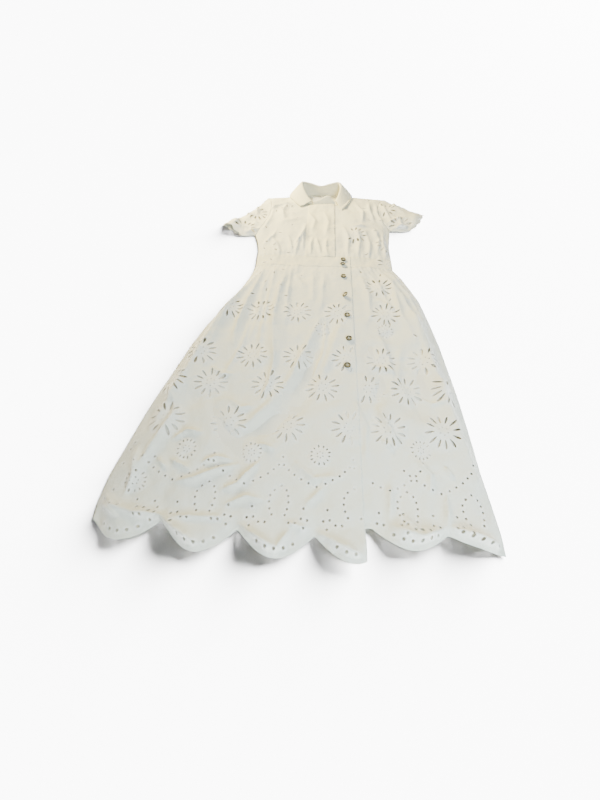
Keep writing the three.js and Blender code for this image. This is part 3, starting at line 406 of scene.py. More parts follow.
# One stitch, with its ends sunk into the cloth.
STITCH_SHAPE = [
    (-1, 0, -0.4), (-0.55, 0.9, 0), (-0.55, 0, 0.9), (-0.55, -0.9, 0), (0.55, 0.9, 0),
    (0.55, 0, 0.9), (0.55, -0.9, 0), (1, 0, -0.4),
]
STITCH_FACES = [
    (0, 2, 1), (0, 3, 2), (1, 2, 5), (1, 5, 4), (2, 3, 6), (2, 6, 5), (4, 5, 7), (5, 6, 7),
    (0, 1, 7), (1, 4, 7), (0, 7, 3), (3, 7, 6),
]

# Lights of the stage: name, watts, size, spread in degrees, colour, place and aim. The first is
# warm window light over the wearer's right shoulder, strongest near the neck. The second is cool
# daylight from beyond the hem. The third is pale, from the front, and reaches into the collar.
AREA_LIGHTS = (
    ("warm_window", 19, 0.45, 105, (1.0, 0.83, 0.40), (-0.64, 0.84, 0.64), (0.0, 0.42, 0.0)),
    ("cool_daylight", 18, 0.5, 180, (0.64, 0.86, 1.0), (0.5, -1.15, 0.7), (0.0, -0.2, 0.0)),
    ("pale_wall", 9.5, 0.6, 180, (0.97, 1.0, 1.0), (0.3, -0.6, 0.85), (0.0, 0.4, 0.0)),
)
SUN_STRENGTH, SUN_ANGLE, SUN_PLACE = 172, 52, (0.72, 0.66, 0.16)
ROOM_COLOUR, ROOM_STRENGTH = (0.96, 0.98, 1.0, 1), 0.2
CAMERA_PLACE, CAMERA_TILT, CAMERA_TURN, CAMERA_LENS = (0.0070, -0.6165, 0.567), 30.3, 2.98, 13.53
FLOOR_DROP = 0.0004

_, BAND_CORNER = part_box("waistband_right")
CENTRE_X = BAND_CORNER.x / MM - SKIRT_EDGE
CENTRE_Y = BAND_CORNER.y / MM + BAND_TOP


def linear(code):
    """Linear colour of an sRGB hex value."""
    parts = [int(code[i:i + 2], 16) / 255 for i in (0, 2, 4)]
    return tuple(c / 12.92 if c <= 0.04045 else ((c + 0.055) / 1.055) ** 2.4 for c in parts)


# ---------------------------------------------------------------- form of the cloth

def line_distance(u, v, u0, v0, u1, v1):
    """Distance to a straight line between two points, and how far along it the foot lies."""
    du, dv = u1 - u0, v1 - v0
    along = np.clip(((u - u0) * du + (v - v0) * dv) / (du * du + dv * dv), 0, 1)
    return np.hypot(u - u0 - along * du, v - v0 - along * dv), along


def side_of(v, bodice, skirt):
    v = np.asarray(v, float)
    return np.where(v < SKIRT_TOP, np.interp(v, *bodice.T), np.interp(v, *skirt.T))


def side_left(v):
    return side_of(v, BODICE_LEFT, SKIRT_LEFT)


def side_right(v):
    return side_of(v, BODICE_RIGHT, SKIRT_RIGHT)


def hem_line(scallops, u):
    """v of the scalloped hem at each u."""
    u = np.asarray(u, float)
    hem = np.zeros_like(u)
    for i, (start, end, first, second, depth) in enumerate(scallops):
        from_here = u >= start if i else u > -FAR
        to_here = u < end if i < len(scallops) - 1 else u < FAR
        t = np.clip((u - start) / (end - start), 0, 1)
        wave = first + (second - first) * t + depth * np.sin(math.pi * t)
        hem = np.where(from_here & to_here, wave, hem)
    return hem


def front_top(u):
    """v of the front neckline and shoulder seams."""
    u = np.asarray(u, float)
    across = np.clip((u - NECK_U) / NECK_ACROSS, -1, 1)
    neck = NECK_V + NECK_DOWN * np.sqrt(1 - across * across)
    return np.where(np.abs(across) < NECK_END, neck, np.interp(u, *SHOULDERS.T))


def closed_edges():
    """Edges where front and back are sewn or folded together, as lines between points."""
    def chain(points):
        return [(*a, *b) for a, b in zip(points, points[1:])]

    def down(table, start):
        return [(u, v) for v, u in table if v >= start]

    return [
        *chain([(-119, 38), (-212, 50), *[row[0:2] for row in SLEEVE_RIGHT]]),
        *chain([row[2:4] for row in SLEEVE_RIGHT]),
        *chain(down(BODICE_LEFT, UNDERARM_LEFT) + down(SKIRT_LEFT, SKIRT_TOP + 1)),
        *chain([(83, 29), (203, 43), *[row[0:2] for row in SLEEVE_LEFT]]),
        *chain([row[2:4] for row in SLEEVE_LEFT]),
        *chain(down(BODICE_RIGHT, UNDERARM_RIGHT) + down(SKIRT_RIGHT, SKIRT_TOP + 1)),
    ]


CLOSED_EDGES = closed_edges()


def ease(x):
    x = np.clip(x, 0, 1)
    return x * x * (3 - 2 * x)


def crease_lift(u, v):
    """How much a crease that starts at a point is raised."""
    if v < BODICE_FOOT:
        return CREASE_LIFT * (BODICE_CREASES if abs(u) < SLEEVE_START else SLEEVE_CREASES)
    return CREASE_LIFT * (LOW_CREASES if v > LOW_CREASES_FROM else 1)


def crease_relief(u, v):
    """Listed creases: soft crests that fade out at both ends."""
    total = np.zeros_like(u)
    for width, height, *points in CREASES:
        lengths = [math.dist(a, b) for a, b in zip(points, points[1:])]
        whole, done = sum(lengths), 0
        nearest, place = np.full_like(u, FAR), np.zeros_like(u)
        for a, b, length in zip(points, points[1:], lengths):
            away, along = line_distance(u, v, *a, *b)
            closer = away < nearest
            nearest = np.where(closer, away, nearest)
            place = np.where(closer, (done + along * length) / whole, place)
            done += length
        fade = np.sqrt(np.sin(math.pi * np.clip(place, CREASE_END, 1 - CREASE_END)))
        crest = np.exp(-(nearest / (CREASE_SPREAD * width)) ** CREASE_POWER)
        total += crease_lift(*points[0]) * height * fade * crest
    return total


def gather_row(table, across, beyond, inside):
    """Gathers at one seam, for points so far beyond it or inside the waistband."""
    total = np.zeros_like(across)
    for place, width, height, length in table:
        fade = np.clip(1 - np.where(inside < 0, beyond / length, inside / INTO_BAND), 0, 1)
        total += height * fade ** GATHER_POWER * np.exp(-((across - place) / width) ** 2)
    return total


def gather_relief(u, v):
    """Gathers above and below the waistband. Below it they fan out with the skirt."""
    spread = np.where(u < 0, side_left(v) / WAIST_LEFT, side_right(v) / WAIST_RIGHT)
    fanned = u / np.maximum(spread, LEAST_SPREAD)
    return (gather_row(SKIRT_GATHERS, fanned, v - SKIRT_TOP, BAND_FOOT - v)
            + gather_row(BODICE_GATHERS, u, BODICE_FOOT - v, v - BAND_TOP))


def middles(table):
    """Middle of each daisy in a table."""
    return [(u, v) for v, places in table for u in places]


def daisy_relief(u, v):
    """Cockled cloth round the embroidery: raised in the middle and sunk round the petals."""
    total = np.zeros_like(u)
    for table, radius, height in COCKLES:
        for place, row in middles(table):
            away = np.hypot(u - place, v - row) / radius
            ring = np.exp(-((away - COCKLE_RING) / COCKLE_RING_WIDTH) ** 2)
            total += height * (np.exp(-(away / COCKLE_MIDDLE) ** 2) - COCKLE_SINK * ring)
    return total


def daisy_cover(u, v):
    """How far each point lies on the white embroidery of a daisy, from 0 to 1."""
    total = np.zeros_like(u)
    for table, outer in ((LARGE_DAISIES, DAISY_OUTER), (SMALL_DAISIES, SMALL_OUTER)):
        for place, row in middles(table):
            inside = outer + SEWN_BEYOND - np.hypot(u - place, v - row)
            total = np.maximum(total, ease(inside / SEWN_EASE))
    return total


def rumple(u, v):
    """Small uneven rise and fall of cloth that has been worn and washed."""
    return np.array([
        sum(height * noise.noise(Vector((a / across, b / down, slice_at)))
            for height, across, down, slice_at in RUMPLES)
        for a, b in zip(u, v)
    ])


def cloth_level(u, v):
    """Height of the underside of the front cloth, as in the CAD part."""
    u, v = np.asarray(u, float), np.asarray(v, float)
    away = np.min([line_distance(u, v, *edge)[0] for edge in CLOSED_EDGES], axis=0)
    rise = np.sin(math.pi / 2 * np.minimum(away / EDGE_ROUND, 1))
    height = np.interp(v, *FULLNESS.T)
    for u0, v0, u1, v1, width, lift in FOLDS:
        height = height + lift * np.exp(-(line_distance(u, v, u0, v0, u1, v1)[0] / width) ** 2)
    return BED + rise * np.maximum(height, 1), away


def front_level(u, v):
    """Height of the underside of the front cloth with its creases and gathers."""
    u, v = np.asarray(u, float), np.asarray(v, float)
    level, away = cloth_level(u, v)
    detail = crease_relief(u, v) + gather_relief(u, v) + daisy_relief(u, v) + rumple(u, v)
    return np.maximum(level + detail * ease(away / EDGE_FADE), BED + LEAST_GAP)


def overlap_lift(u, start):
    """How far the over side is lifted by the under side, which starts at a given u."""
    return OVERLAP * ease((u - start + OVERLAP_EASE) / OVERLAP_EASE)


def skirt_over_level(u, v):
    to_hem = np.clip((v - HEM_START) / (hem_line(SCALLOPS_OVER, u) - HEM_START), 0, 1)
    lift = overlap_lift(u, SKIRT_UNDERLAP)
    return front_level(u, v) + lift + HEM_LIFT * to_hem * ease(u / HEM_LIFT_EASE)


def band_over_level(u, v):
    return front_level(u, v) + overlap_lift(u, SKIRT_UNDERLAP)


def bodice_over_level(u, v):
    return front_level(u, v) + overlap_lift(u, BODICE_UNDERLAP)


# ---------------------------------------------------------------- eyelets

def petal(u, v, angle, inner, outer, width, grow):
    """Loop round one pointed petal, made larger by a margin."""
    inner, outer, half = inner - grow * POINT_GROWTH, outer + grow * POINT_GROWTH, width / 2 + grow
    across = PETAL_ACROSS * half
    reach = inner + (outer - inner) * PETAL_ALONG
    cos, sin = math.cos(angle), math.sin(angle)
    return np.stack([u + reach * cos - across * sin, v + reach * sin + across * cos], 1)


def dot(u, v, radius, corners=10):
    angles = np.arange(corners) * 2 * math.pi / corners
    return np.stack([u + radius * np.cos(angles), v + radius * np.sin(angles)], 1)


def all_eyelets(sizes):
    """Every eyelet of the front, as its hole and the outer line of its sewn rim."""
    rim = sizes.rim_width / MM
    found = []

    def round_eyelet(u, v, radius, rim=rim):
        found.append((dot(u, v, radius), dot(u, v, radius + rim)))

    def daisy(u, v, petals, inner, outer, width, rim, dots_at, dot_radius):
        for i in range(petals):
            uneven = math.sin(7.3 * i + u + v)
            angle = u + 2 * math.pi * i / petals + 0.07 * uneven
            other = math.sin(4.1 * i + 2 * u - v)
            shape = (u, v, angle, inner, outer * (1 + 0.05 * other), width * (1 + 0.12 * uneven))
            found.append((petal(*shape, 0), petal(*shape, rim)))
        for i in range(MIDDLE_DOTS):
            turn = u + 2 * math.pi * i / MIDDLE_DOTS
            dot_u, dot_v = u + dots_at * math.cos(turn), v + dots_at * math.sin(turn)
            round_eyelet(dot_u, dot_v, dot_radius, MIDDLE_RIM)

    for u, v in middles(LARGE_DAISIES):
        width = SLEEVE_PETAL_WIDTH if abs(u) > SLEEVE_DAISIES and v < UNDERARM_LEFT else DAISY_WIDTH
        daisy(u, v, DAISY_PETALS, DAISY_INNER, DAISY_OUTER, width, rim, *DAISY_DOTS)
    for u, v in middles(SMALL_DAISIES):
        daisy(u, v, SMALL_PETALS, SMALL_INNER, SMALL_OUTER, SMALL_WIDTH, SMALL_RIM,
              *SMALL_DOTS)
    for u, v, degrees in SINGLE_PETALS:
        shape = (u, v, math.radians(degrees), -SINGLE_LENGTH / 2, SINGLE_LENGTH / 2, SINGLE_WIDTH)
        found.append((petal(*shape, 0), petal(*shape, rim)))
    for u, v in SINGLE_DOTS:
        round_eyelet(u, v, SINGLE_RADIUS)
    for notch in NOTCHES:
        for du, v in WAVE:
            round_eyelet(notch + du, v, WAVE_RADIUS)
        for du, v in CLUSTER:
            round_eyelet(notch + du, v, CLUSTER_RADIUS)
            round_eyelet(notch - du, v, CLUSTER_RADIUS)
    for middle in SCALLOP_MIDDLES:
        scallops = SCALLOPS_OVER if middle < SKIRT_EDGE else SCALLOPS_UNDER
        if middle > SCALLOP_MIDDLES[0]:
            for du, v in RING:
                round_eyelet(middle + du, v, WAVE_RADIUS)
        for step in range(-2, 3):
            u = middle + step * HEM_EYELET_PITCH
            round_eyelet(u, float(hem_line(scallops, u)) - HEM_EYELET_IN, HEM_EYELET_RADIUS)
    return found


def eyelets_between(sizes, left, right):
    """Eyelets whose sewn rims lie between two upright lines."""
    found = []
    for hole, rim in all_eyelets(sizes):
        if rim[:, 0].min() > left and rim[:, 0].max() < right:
            found.append((hole, rim))
    return found


def is_inside(points, outline):
    u, v = points.T
    result = np.zeros(len(points), bool)
    for (u0, v0), (u1, v1) in zip(outline, np.roll(outline, -1, axis=0)):
        if v0 != v1:
            crosses = (v0 > v) != (v1 > v)
            result ^= crosses & (u < u0 + (v - v0) / (v1 - v0) * (u1 - u0))
    return result


def facing_up(loop):
    """The same loop, running anticlockwise as seen from above."""
    u, v = loop.T
    return loop if np.dot(v, np.roll(u, 1)) < np.dot(u, np.roll(v, 1)) else loop[::-1]


def is_near(points, others, distance):
    tree = KDTree(len(others))
    for i, (u, v) in enumerate(others):
        tree.insert((u, v, 0), i)
    tree.balance()
    return np.array([tree.find((u, v, 0))[2] < distance for u, v in points], bool)


# ---------------------------------------------------------------- meshes

def to_row(points):
    """Points in u, v, z millimetres as x, y, z metres of the part's own frame."""
    u, v, z = np.asarray(points, float).T
    return np.stack([(u + CENTRE_X) * MM, (CENTRE_Y - v) * MM, z * MM], 1)


def link_piece(name, mesh, materials, replaced=()):
    """Adds a mesh to the scene as a smooth piece, with what it is made of and stands for."""
    mesh.polygons.foreach_set("use_smooth", [True] * len(mesh.polygons))
    for material in materials:
        mesh.materials.append(bpy.data.materials[material])
    piece = bpy.data.objects.new(name, mesh)
    bpy.context.scene.collection.objects.link(piece)
    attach(piece, "root")
    if replaced:
        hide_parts(*replaced)
    return piece


def new_object(name, points, faces, material, slot, replaced=()):
    mesh = bpy.data.meshes.new(name)
    mesh.from_pydata(to_row(points).tolist(), [], faces)
    mesh.validate()
    return link_piece(name, mesh, [material], replaced)


def to_mesh(name, made):
    """Mesh from a bmesh, which it frees."""
    mesh = bpy.data.meshes.new(name)
    made.to_mesh(mesh)
    made.free()
    return mesh


def thicken(piece, thickness):
    """Gives a cloth surface its thickness, downwards from its outer face."""
    solid = piece.modifiers.new("Cloth thickness", "SOLIDIFY")
    solid.thickness = thickness * MM
    solid.offset = -1
    return piece


def along_line(points, step):
    """Points spaced evenly along a line through some points."""
    points = np.asarray(points, float)
    lengths = np.concatenate([[0], np.cumsum(np.linalg.norm(np.diff(points, axis=0), axis=1))])
    count = max(int(round(lengths[-1] / step)), 1)
    places = np.linspace(0, lengths[-1], count + 1)
    return np.stack([np.interp(places, lengths, points[:, i]) for i in range(points.shape[1])], 1)


def closed_outline(sides, step):
    """Outline of a panel from its sides, each a line through some points."""
    return np.concatenate([along_line(side, step)[:-1] for side in sides])


def hex_points(outline, step):
    """Points inside an outline, in rows that make even triangles."""
    low, high = outline.min(0), outline.max(0)
    rows = np.arange(low[1], high[1], step * ROW_PITCH)
    grid = []
    for i, v in enumerate(rows):
        us = np.arange(low[0] + (i % 2) * step / 2, high[0], step)
        grid.append(np.stack([us, np.full_like(us, v)], 1))
    points = np.concatenate(grid)
    return points[is_inside(points, outline)]


def crease_points(outline):
    """Extra points along the creases, so that narrow ones are drawn well."""
    found = []
    for width, _, *points in CREASES:
        line = along_line(points, OUTLINE_STEP)
        along = np.gradient(line, axis=0)
        along /= np.linalg.norm(along, axis=1)[:, None]
        across = np.stack([-along[:, 1], along[:, 0]], 1)
        for off in (-0.9, -0.4, 0, 0.4, 0.9):
            found.append(line + across * off * width)
    found = np.concatenate(found)
    return found[is_inside(found, outline)]


def thin_out(points, distance):
    """Leaves out points that lie closer than a distance to one kept before them."""
    kept, cells = [], set()
    for u, v in points:
        cell = (round(u / distance), round(v / distance))
        if cell not in cells:
            cells.add(cell)
            kept.append((u, v))
    return np.array(kept)


def holes_that_fit(holes, outline):
    """Holes whose rims lie inside an outline and clear of it, all running anticlockwise."""
    kept = []
    for hole, rim in holes:
        if is_inside(rim, outline).all():
            kept.append((facing_up(hole), facing_up(rim)))
    if kept:
        near = is_near(np.concatenate([rim for _, rim in kept]), outline, RIM_TO_EDGE)
        counts = np.cumsum([0] + [len(rim) for _, rim in kept])
        kept = [pair for i, pair in enumerate(kept) if not near[counts[i]:counts[i + 1]].any()]
    return kept


def inner_points(outline, sizes, step, fine, extra, fixed):
    """Points inside a panel: even rows, the creases, a finer patch and any extra ones."""
    inner = [hex_points(outline, step), crease_points(outline)]
    if fine is not None:
        fine_points = hex_points(np.array(fine, float), sizes.fine_step / MM)
        inner.append(fine_points[is_inside(fine_points, outline)])
    if len(extra):
        inner.insert(0, extra[is_inside(extra, outline)])
    else:
        inner.reverse()
    inner = thin_out(np.concatenate(inner), POINT_SPACING)
    return inner[~is_near(inner, fixed, FIXED_SPACING)]


def pierced_triangles(outline, holes, inner):
    """Triangles of a pierced panel as corners, faces and whether each corner is on a rim."""
    loops = [loop for pair in holes for loop in pair]
    faces, edges, rim_points = [list(range(len(outline)))], [], set()
    start = len(outline)
    for hole, rim in holes:
        first = start + len(hole)
        faces.append(list(range(start, first)))
        edges += [(first + i, first + (i + 1) % len(rim)) for i in range(len(rim))]
        rim_points.update(range(start, first + len(rim)))
        start = first + len(rim)
    flat = [Vector((u, -v)) for u, v in np.concatenate([outline, *loops, inner])]
    made, _, triangles, origins, _, inside_of = delaunay_2d_cdt(flat, edges, faces, 1, 1e-5, True)
    # Only the outline itself is face 0. A triangle inside a hole has the hole's face as well.
    triangles = [tuple(tri) for tri, within in zip(triangles, inside_of) if set(within) == {0}]
    used = sorted({i for tri in triangles for i in tri})
    renumber = {old: new for new, old in enumerate(used)}
    corners = np.array([(made[i][0], -made[i][1]) for i in used])
    sewn = np.array([any(o in rim_points for o in origins[i]) for i in used], float)
    return corners, [tuple(renumber[i] for i in tri) for tri in triangles], sewn


def panel(solid, outline, level, sizes, finish, holes=(), fine=None, extra=(),
          thickness=None, step=None):
    """Cloth panel cut to an outline and pierced, with its upper face over a given level."""
    thickness = sizes.cloth_thickness / MM if thickness is None else thickness
    step = sizes.mesh_step / MM if step is None else step
    cut = facing_up(outline)
    holes = holes_that_fit(holes, cut)
    fixed = np.concatenate([cut, *[loop for pair in holes for loop in pair]])
    inner = inner_points(cut, sizes, step, fine, extra, fixed)
    corners, faces, sewn = pierced_triangles(cut, holes, inner)
    u, v = corners.T
    z = level(u, v) + thickness + sewn * sizes.rim_height / MM
    piece = new_object(f"cloth_{solid}", np.stack([u, v, z], 1), faces, *finish, [solid])
    stitch = piece.data.attributes.new("stitch", "FLOAT", "POINT")
    stitch.data.foreach_set("value", np.maximum(sewn, DAISY_SEWN * daisy_cover(u, v)))
    thicken(piece, thickness)
    declare(outline)


def declare(outline):
    """Works out the area and size of a panel's flat cut from its outline; nothing uses them."""
    low, high = outline.min(0), outline.max(0)
    u, v = outline.T
    area = abs(np.dot(u, np.roll(v, 1)) - np.dot(v, np.roll(u, 1))) / 2
    width, length = (high - low) * MM
    area = min(area * MM * MM, width * length)


def grid_piece(solid, grid, thickness):
    """Poplin through a grid of points, given its thickness behind its outer face."""
    rows, columns = grid.shape[:2]
    faces = []
    for r in range(rows - 1):
        for c in range(columns - 1):
            a, b = r * columns + c, (r + 1) * columns + c
            faces.append((a, b, b + 1, a + 1))
    piece = new_object(f"cloth_{solid}", grid.reshape(-1, 3), faces, *POPLIN, [solid])
    piece.data.attributes.new("stitch", "FLOAT", "POINT")
    return thicken(piece, thickness)


# ---------------------------------------------------------------- collar form

def smooth_table(table, count):
    """Smooth curve through the rows of a table."""
    last = len(table) - 1
    places = np.linspace(0, last, count)
    k = np.clip(places.astype(int), 0, last - 1)
    t = (places - k)[:, None]
    p0, p1 = table[np.maximum(k - 1, 0)], table[k]
    p2, p3 = table[k + 1], table[np.minimum(k + 2, last)]
    return 0.5 * (2 * p1 + (p2 - p0) * t + (2 * p0 - 5 * p1 + 4 * p2 - p3) * t ** 2
                  + (3 * p1 - p0 - 3 * p2 + p3) * t ** 3)


def seam_level(v):
    """Height of the seam between the stand and the neckline."""
    return BED + STAND_SEAM_RISE * ease((v - STAND_SEAM_FROM) / STAND_SEAM_EASE)


def collar_fall_point(s, t):
    """Upper face of the fall on each section, t from the fold to the free edge."""
    u = s[:, 2] + (s[:, 5] - s[:, 2]) * t
    v = s[:, 3] + (s[:, 6] - s[:, 3]) * t
    hang = s[:, 4] + FOLD_RISE + (s[:, 7] - s[:, 4] - FOLD_RISE) * max(t, 0) ** FALL_POWER
    level, _ = cloth_level(u, v)
    rest = np.where(v > front_top(u) - FALL_RESTS, level + FRONT_CLOTH + FALL_GAP, 0)
    return np.stack([u, v, np.maximum(hang, rest)], 1)


def neck_outward(s):
    """Level direction out of the neck along the fold of the collar."""
    step = np.gradient(s[:, 2:4], axis=0)
    out = np.stack([step[:, 1], -step[:, 0]], 1)
    return out / np.linalg.norm(out, axis=1)[:, None]


# ---------------------------------------------------------------- materials

def node(tree, kind, settings=None, links=None):
    """Adds a shader node with its settings, and links some of its inputs."""
    made = tree.nodes.new(kind)
    for key, value in (settings or {}).items():
        if isinstance(key, int) or key in made.inputs:
            made.inputs[key].default_value = value
        else:
            setattr(made, key, value)
    for key, source in (links or {}).items():
        tree.links.new(source, made.inputs[key])
    return made


def new_material(name):
    """Empty shader tree of a new material."""
    material = bpy.data.materials.new(name)
    material.use_nodes = True
    tree = material.node_tree
    tree.nodes.clear()
    return tree


def place_on_piece(tree):
    """Link of a texture to its place on the piece."""
    return {"Vector": node(tree, "ShaderNodeTexCoord").outputs["Object"]}


def bumps(tree, texture, strength, distance):
    """Bumps from a texture, as the link of a shader's normal."""
    made = node(tree, "ShaderNodeBump", {"Strength": strength, "Distance": distance},
                {"Height": texture.outputs["Fac"]})
    return {"Normal": made.outputs[0]}


def finish_material(tree, settings, links):
    shader = node(tree, "ShaderNodeBsdfPrincipled", settings, links)
    node(tree, "ShaderNodeOutputMaterial", None, {"Surface": shader.outputs[0]})


def woven_cotton(name, colour, shade, thread, pitch, rumple_size, strength):
    """Plain-woven cotton: two sets of threads at right angles, fine puckers and soft colour."""
    tree = new_material(name)
    place = place_on_piece(tree)
    per_metre = 2 * math.pi / pitch / 20
    waves = []
    for direction in ("X", "Y"):
        wave = node(tree, "ShaderNodeTexWave", {
            "wave_type": "BANDS", "bands_direction": direction, "Scale": per_metre,
            "Distortion": 0.6, "Detail": 1.0, "Detail Scale": 2.0,
        }, place)
        waves.append(wave.outputs["Fac"])
    weave = node(tree, "ShaderNodeMath", {"operation": "MULTIPLY"}, {0: waves[0], 1: waves[1]})
    pucker = node(tree, "ShaderNodeTexNoise", {
        "Scale": 1 / rumple_size, "Detail": 4.0, "Roughness": 0.6,
    }, place)
    fine = node(tree, "ShaderNodeBump", {"Strength": 0.35, "Distance": 0.0002},
                {"Height": weave.outputs[0], **bumps(tree, pucker, strength, 0.0028)})
    cloud = node(tree, "ShaderNodeTexNoise", {"Scale": 6.0, "Detail": 2.0}, place)
    tone = node(tree, "ShaderNodeMix", {
        "data_type": "RGBA", 6: (*shade, 1), 7: (*colour, 1),
    }, {0: cloud.outputs["Fac"]})
    sewn = node(tree, "ShaderNodeAttribute", {"attribute_name": "stitch"})
    whole = node(tree, "ShaderNodeMix", {"data_type": "RGBA", 7: (*thread, 1)}, {
        0: sewn.outputs["Fac"], 6: tone.outputs[2],
    })
    finish_material(tree, {
        "Roughness": 0.86, "IOR": 1.5, "Specular IOR Level": 0.25, "Sheen Weight": 0.12,
        "Sheen Roughness": 0.5,
    }, {"Base Color": whole.outputs[2], "Normal": fine.outputs[0]})


def make_materials(look):
    """Finishes of the dress, each named for what it is."""
    # Mercerised cotton lawn, bleached to a warm white, with satin-stitched eyelet rims.
    woven_cotton("eyelet_cotton_lawn", look.cloth, look.cloth_shade, look.thread, 0.0008, 0.011,
                 0.5)
    # Closer-woven cotton poplin of the collar, waistband and centre strip, a little creamier.
    woven_cotton("plain_cotton_poplin", look.plain, look.plain_shade, look.thread, 0.0007, 0.016,
                 0.4)
    # Back of the dress: the same lawn, given a darker colour than the front as painted shade, seen
    # through the eyelets and from below.
    woven_cotton("back_cotton_lawn", look.back, look.cloth_shade, look.thread, 0.0008, 0.012, 0.5)

    # White woven satin of the label: smooth, with a soft shine along its threads.
    tree = new_material("white_satin_label")
    place = place_on_piece(tree)
    weft = node(tree, "ShaderNodeTexWave", {"Scale": 300.0, "bands_direction": "Y"},
                place)
    finish_material(tree, {
        "Base Color": (*look.label, 1), "Roughness": 0.45, "Sheen Weight": 0.2,
    }, bumps(tree, weft, 0.2, 0.0001))

    # Two-ply cotton sewing thread: matt, with a twist.
    tree = new_material("cotton_sewing_thread")
    place = place_on_piece(tree)
    twist = node(tree, "ShaderNodeTexNoise", {"Scale": 900.0}, place)
    finish_material(tree, {
        "Base Color": (*look.thread, 1), "Roughness": 0.7, "Sheen Weight": 0.1,
    }, bumps(tree, twist, 0.3, 0.0002))

    # Polyester buttons in imitation horn: mottled olive rim and a paler pearly middle.
    for name, light, dark, rough in (
        ("imitation_horn_rim", look.button_rim, look.button_dark, 0.3),
        ("pearly_button_middle", look.button_middle, look.button_rim, 0.22),
    ):
        tree = new_material(name)
        place = place_on_piece(tree)
        mottle = node(tree, "ShaderNodeTexNoise", {
            "Scale": 220.0, "Detail": 3.0, "Distortion": 1.5,
        }, place)
        ramp = node(tree, "ShaderNodeMapRange", {1: 0.4, 2: 0.7}, {0: mottle.outputs["Fac"]})
        tone = node(tree, "ShaderNodeMix", {
            "data_type": "RGBA", 6: (*light, 1), 7: (*dark, 1),
        }, {0: ramp.outputs[0]})
        finish_material(tree, {"Roughness": rough, "IOR": 1.55, "Coat Weight": 0.3}, {
            "Base Color": tone.outputs[2],
        })

    # Matt white paper floor.
    tree = new_material("matt_white_floor")
    finish_material(tree, {
        "Base Color": (*look.floor, 1), "Roughness": 0.95, "Specular IOR Level": 0.1,
    }, {})


# ---------------------------------------------------------------- properties

def length_property(name, text, millimetres):
    return FloatProperty(name=name, description=text, default=millimetres * MM, min=0,
                         precision=5, subtype="DISTANCE", unit="LENGTH")


def colour_property(name, text, code):
    return FloatVectorProperty(name=name, description=text, default=linear(code), size=3,
                               min=0, max=1, subtype="COLOR")


class DressSizes(bpy.types.PropertyGroup):
    """Sizes that a maker of the dress would change."""
    cloth_thickness: length_property("Cloth", "Thickness of the front cloth as drawn", 0.8)
    back_thickness: length_property("Back cloth", "Thickness of the back panels as drawn", 0.9)
    rim_width: length_property("Rim width", "Width of the sewn rim round an eyelet", 1.4)
    rim_height: length_property("Rim height", "How far the sewn rim stands up", 0.5)
    mesh_step: length_property("Mesh step", "Distance between points of a panel", 4.8)
    fine_step: length_property("Fine mesh step", "Distance between points where gathered", 3.0)
    stitch_length: length_property("Stitch", "Length of one stitch", 2.4)
    stitch_gap: length_property("Stitch gap", "Gap between two stitches", 0.9)
    stitch_width: length_property("Thread", "Width of the sewing thread", 0.55)
    button_sides: IntProperty(name="Button sides", description="Steps round a button",
                              default=48, min=12)


class DressColours(bpy.types.PropertyGroup):
    """Colours of the cloth, thread, label, buttons and floor."""
    cloth: colour_property("Cloth", "Bleached cotton lawn", "F2F1E2")
    cloth_shade: colour_property("Cloth, deeper", "Creamier patches of the lawn", "EBE8D3")
    plain: colour_property("Plain cloth", "Poplin of collar, band and strip", "F5F1DA")
    plain_shade: colour_property("Plain cloth, deeper", "Creamier patches of poplin", "EFEACD")
    # Darker than the front lawn: painted shade for what shows through the eyelets.
    back: colour_property("Back cloth", "Lawn of the back panels", "E8E3D3")
    thread: colour_property("Thread", "White cotton thread", "F7F4E6")
    label: colour_property("Label", "Bare white satin", "FFFFFF")
    button_rim: colour_property("Button rim", "Olive imitation horn", "3E3A29")
    button_dark: colour_property("Button mottle", "Dark streaks of the rim", "231F14")
    button_middle: colour_property("Button middle", "Pale pearly middle", "8F8768")
    floor: colour_property("Floor", "White paper", "FAFAFA")


# ---------------------------------------------------------------- pieces

def sizes_of(context):
    return context.scene.dress_sizes


def side_line(side, start, end, step=12):
    vs = np.arange(start, end, step).tolist() + [end]
    return [(float(side(v)), v) for v in vs]


def skirt_outline(left, right, scallops):
    """Outline of a skirt panel between two sides, given as functions of v."""
    foot_left = hem_start(left, scallops)
    foot_right = hem_start(right, scallops)
    waist = np.linspace(float(left(SKIRT_TOP)), float(right(SKIRT_TOP)), 30)
    hem = [(u, float(hem_line(scallops, u))) for u in np.linspace(foot_left[0], foot_right[0], 200)]
    return closed_outline([
        [(u, SKIRT_TOP) for u in waist],
        side_line(right, SKIRT_TOP, foot_right[1]),
        hem[::-1],
        side_line(left, SKIRT_TOP, foot_left[1])[::-1],
    ], OUTLINE_STEP)


def hem_start(side, scallops):
    """Point where a side of the skirt meets the hem."""
    v = HEM_START
    while v < float(hem_line(scallops, float(side(v)))):
        v += 0.5
    return float(side(v)), v


def hem_extra(scallops, left, right):
    """Rows of points along the hem, for its bound edge."""
    us = np.arange(left + 3, right - 2, OUTLINE_STEP)
    hem = hem_line(scallops, us)
    return np.concatenate([np.stack([us, hem - off], 1) for off in BOUND_ROWS])


def with_bound_edge(level, scallops):
    """Adds the turned and stitched edge of the hem to a level."""
    def bound(u, v):
        inset = hem_line(scallops, u) - v
        fall = HEM_FALL * ease(1 - inset / HEM_FALL_FROM) ** 1.5
        return np.maximum(level(u, v) - fall, BED) + BOUND_DEPTH * (inset < BOUND_WIDTH)
    return bound


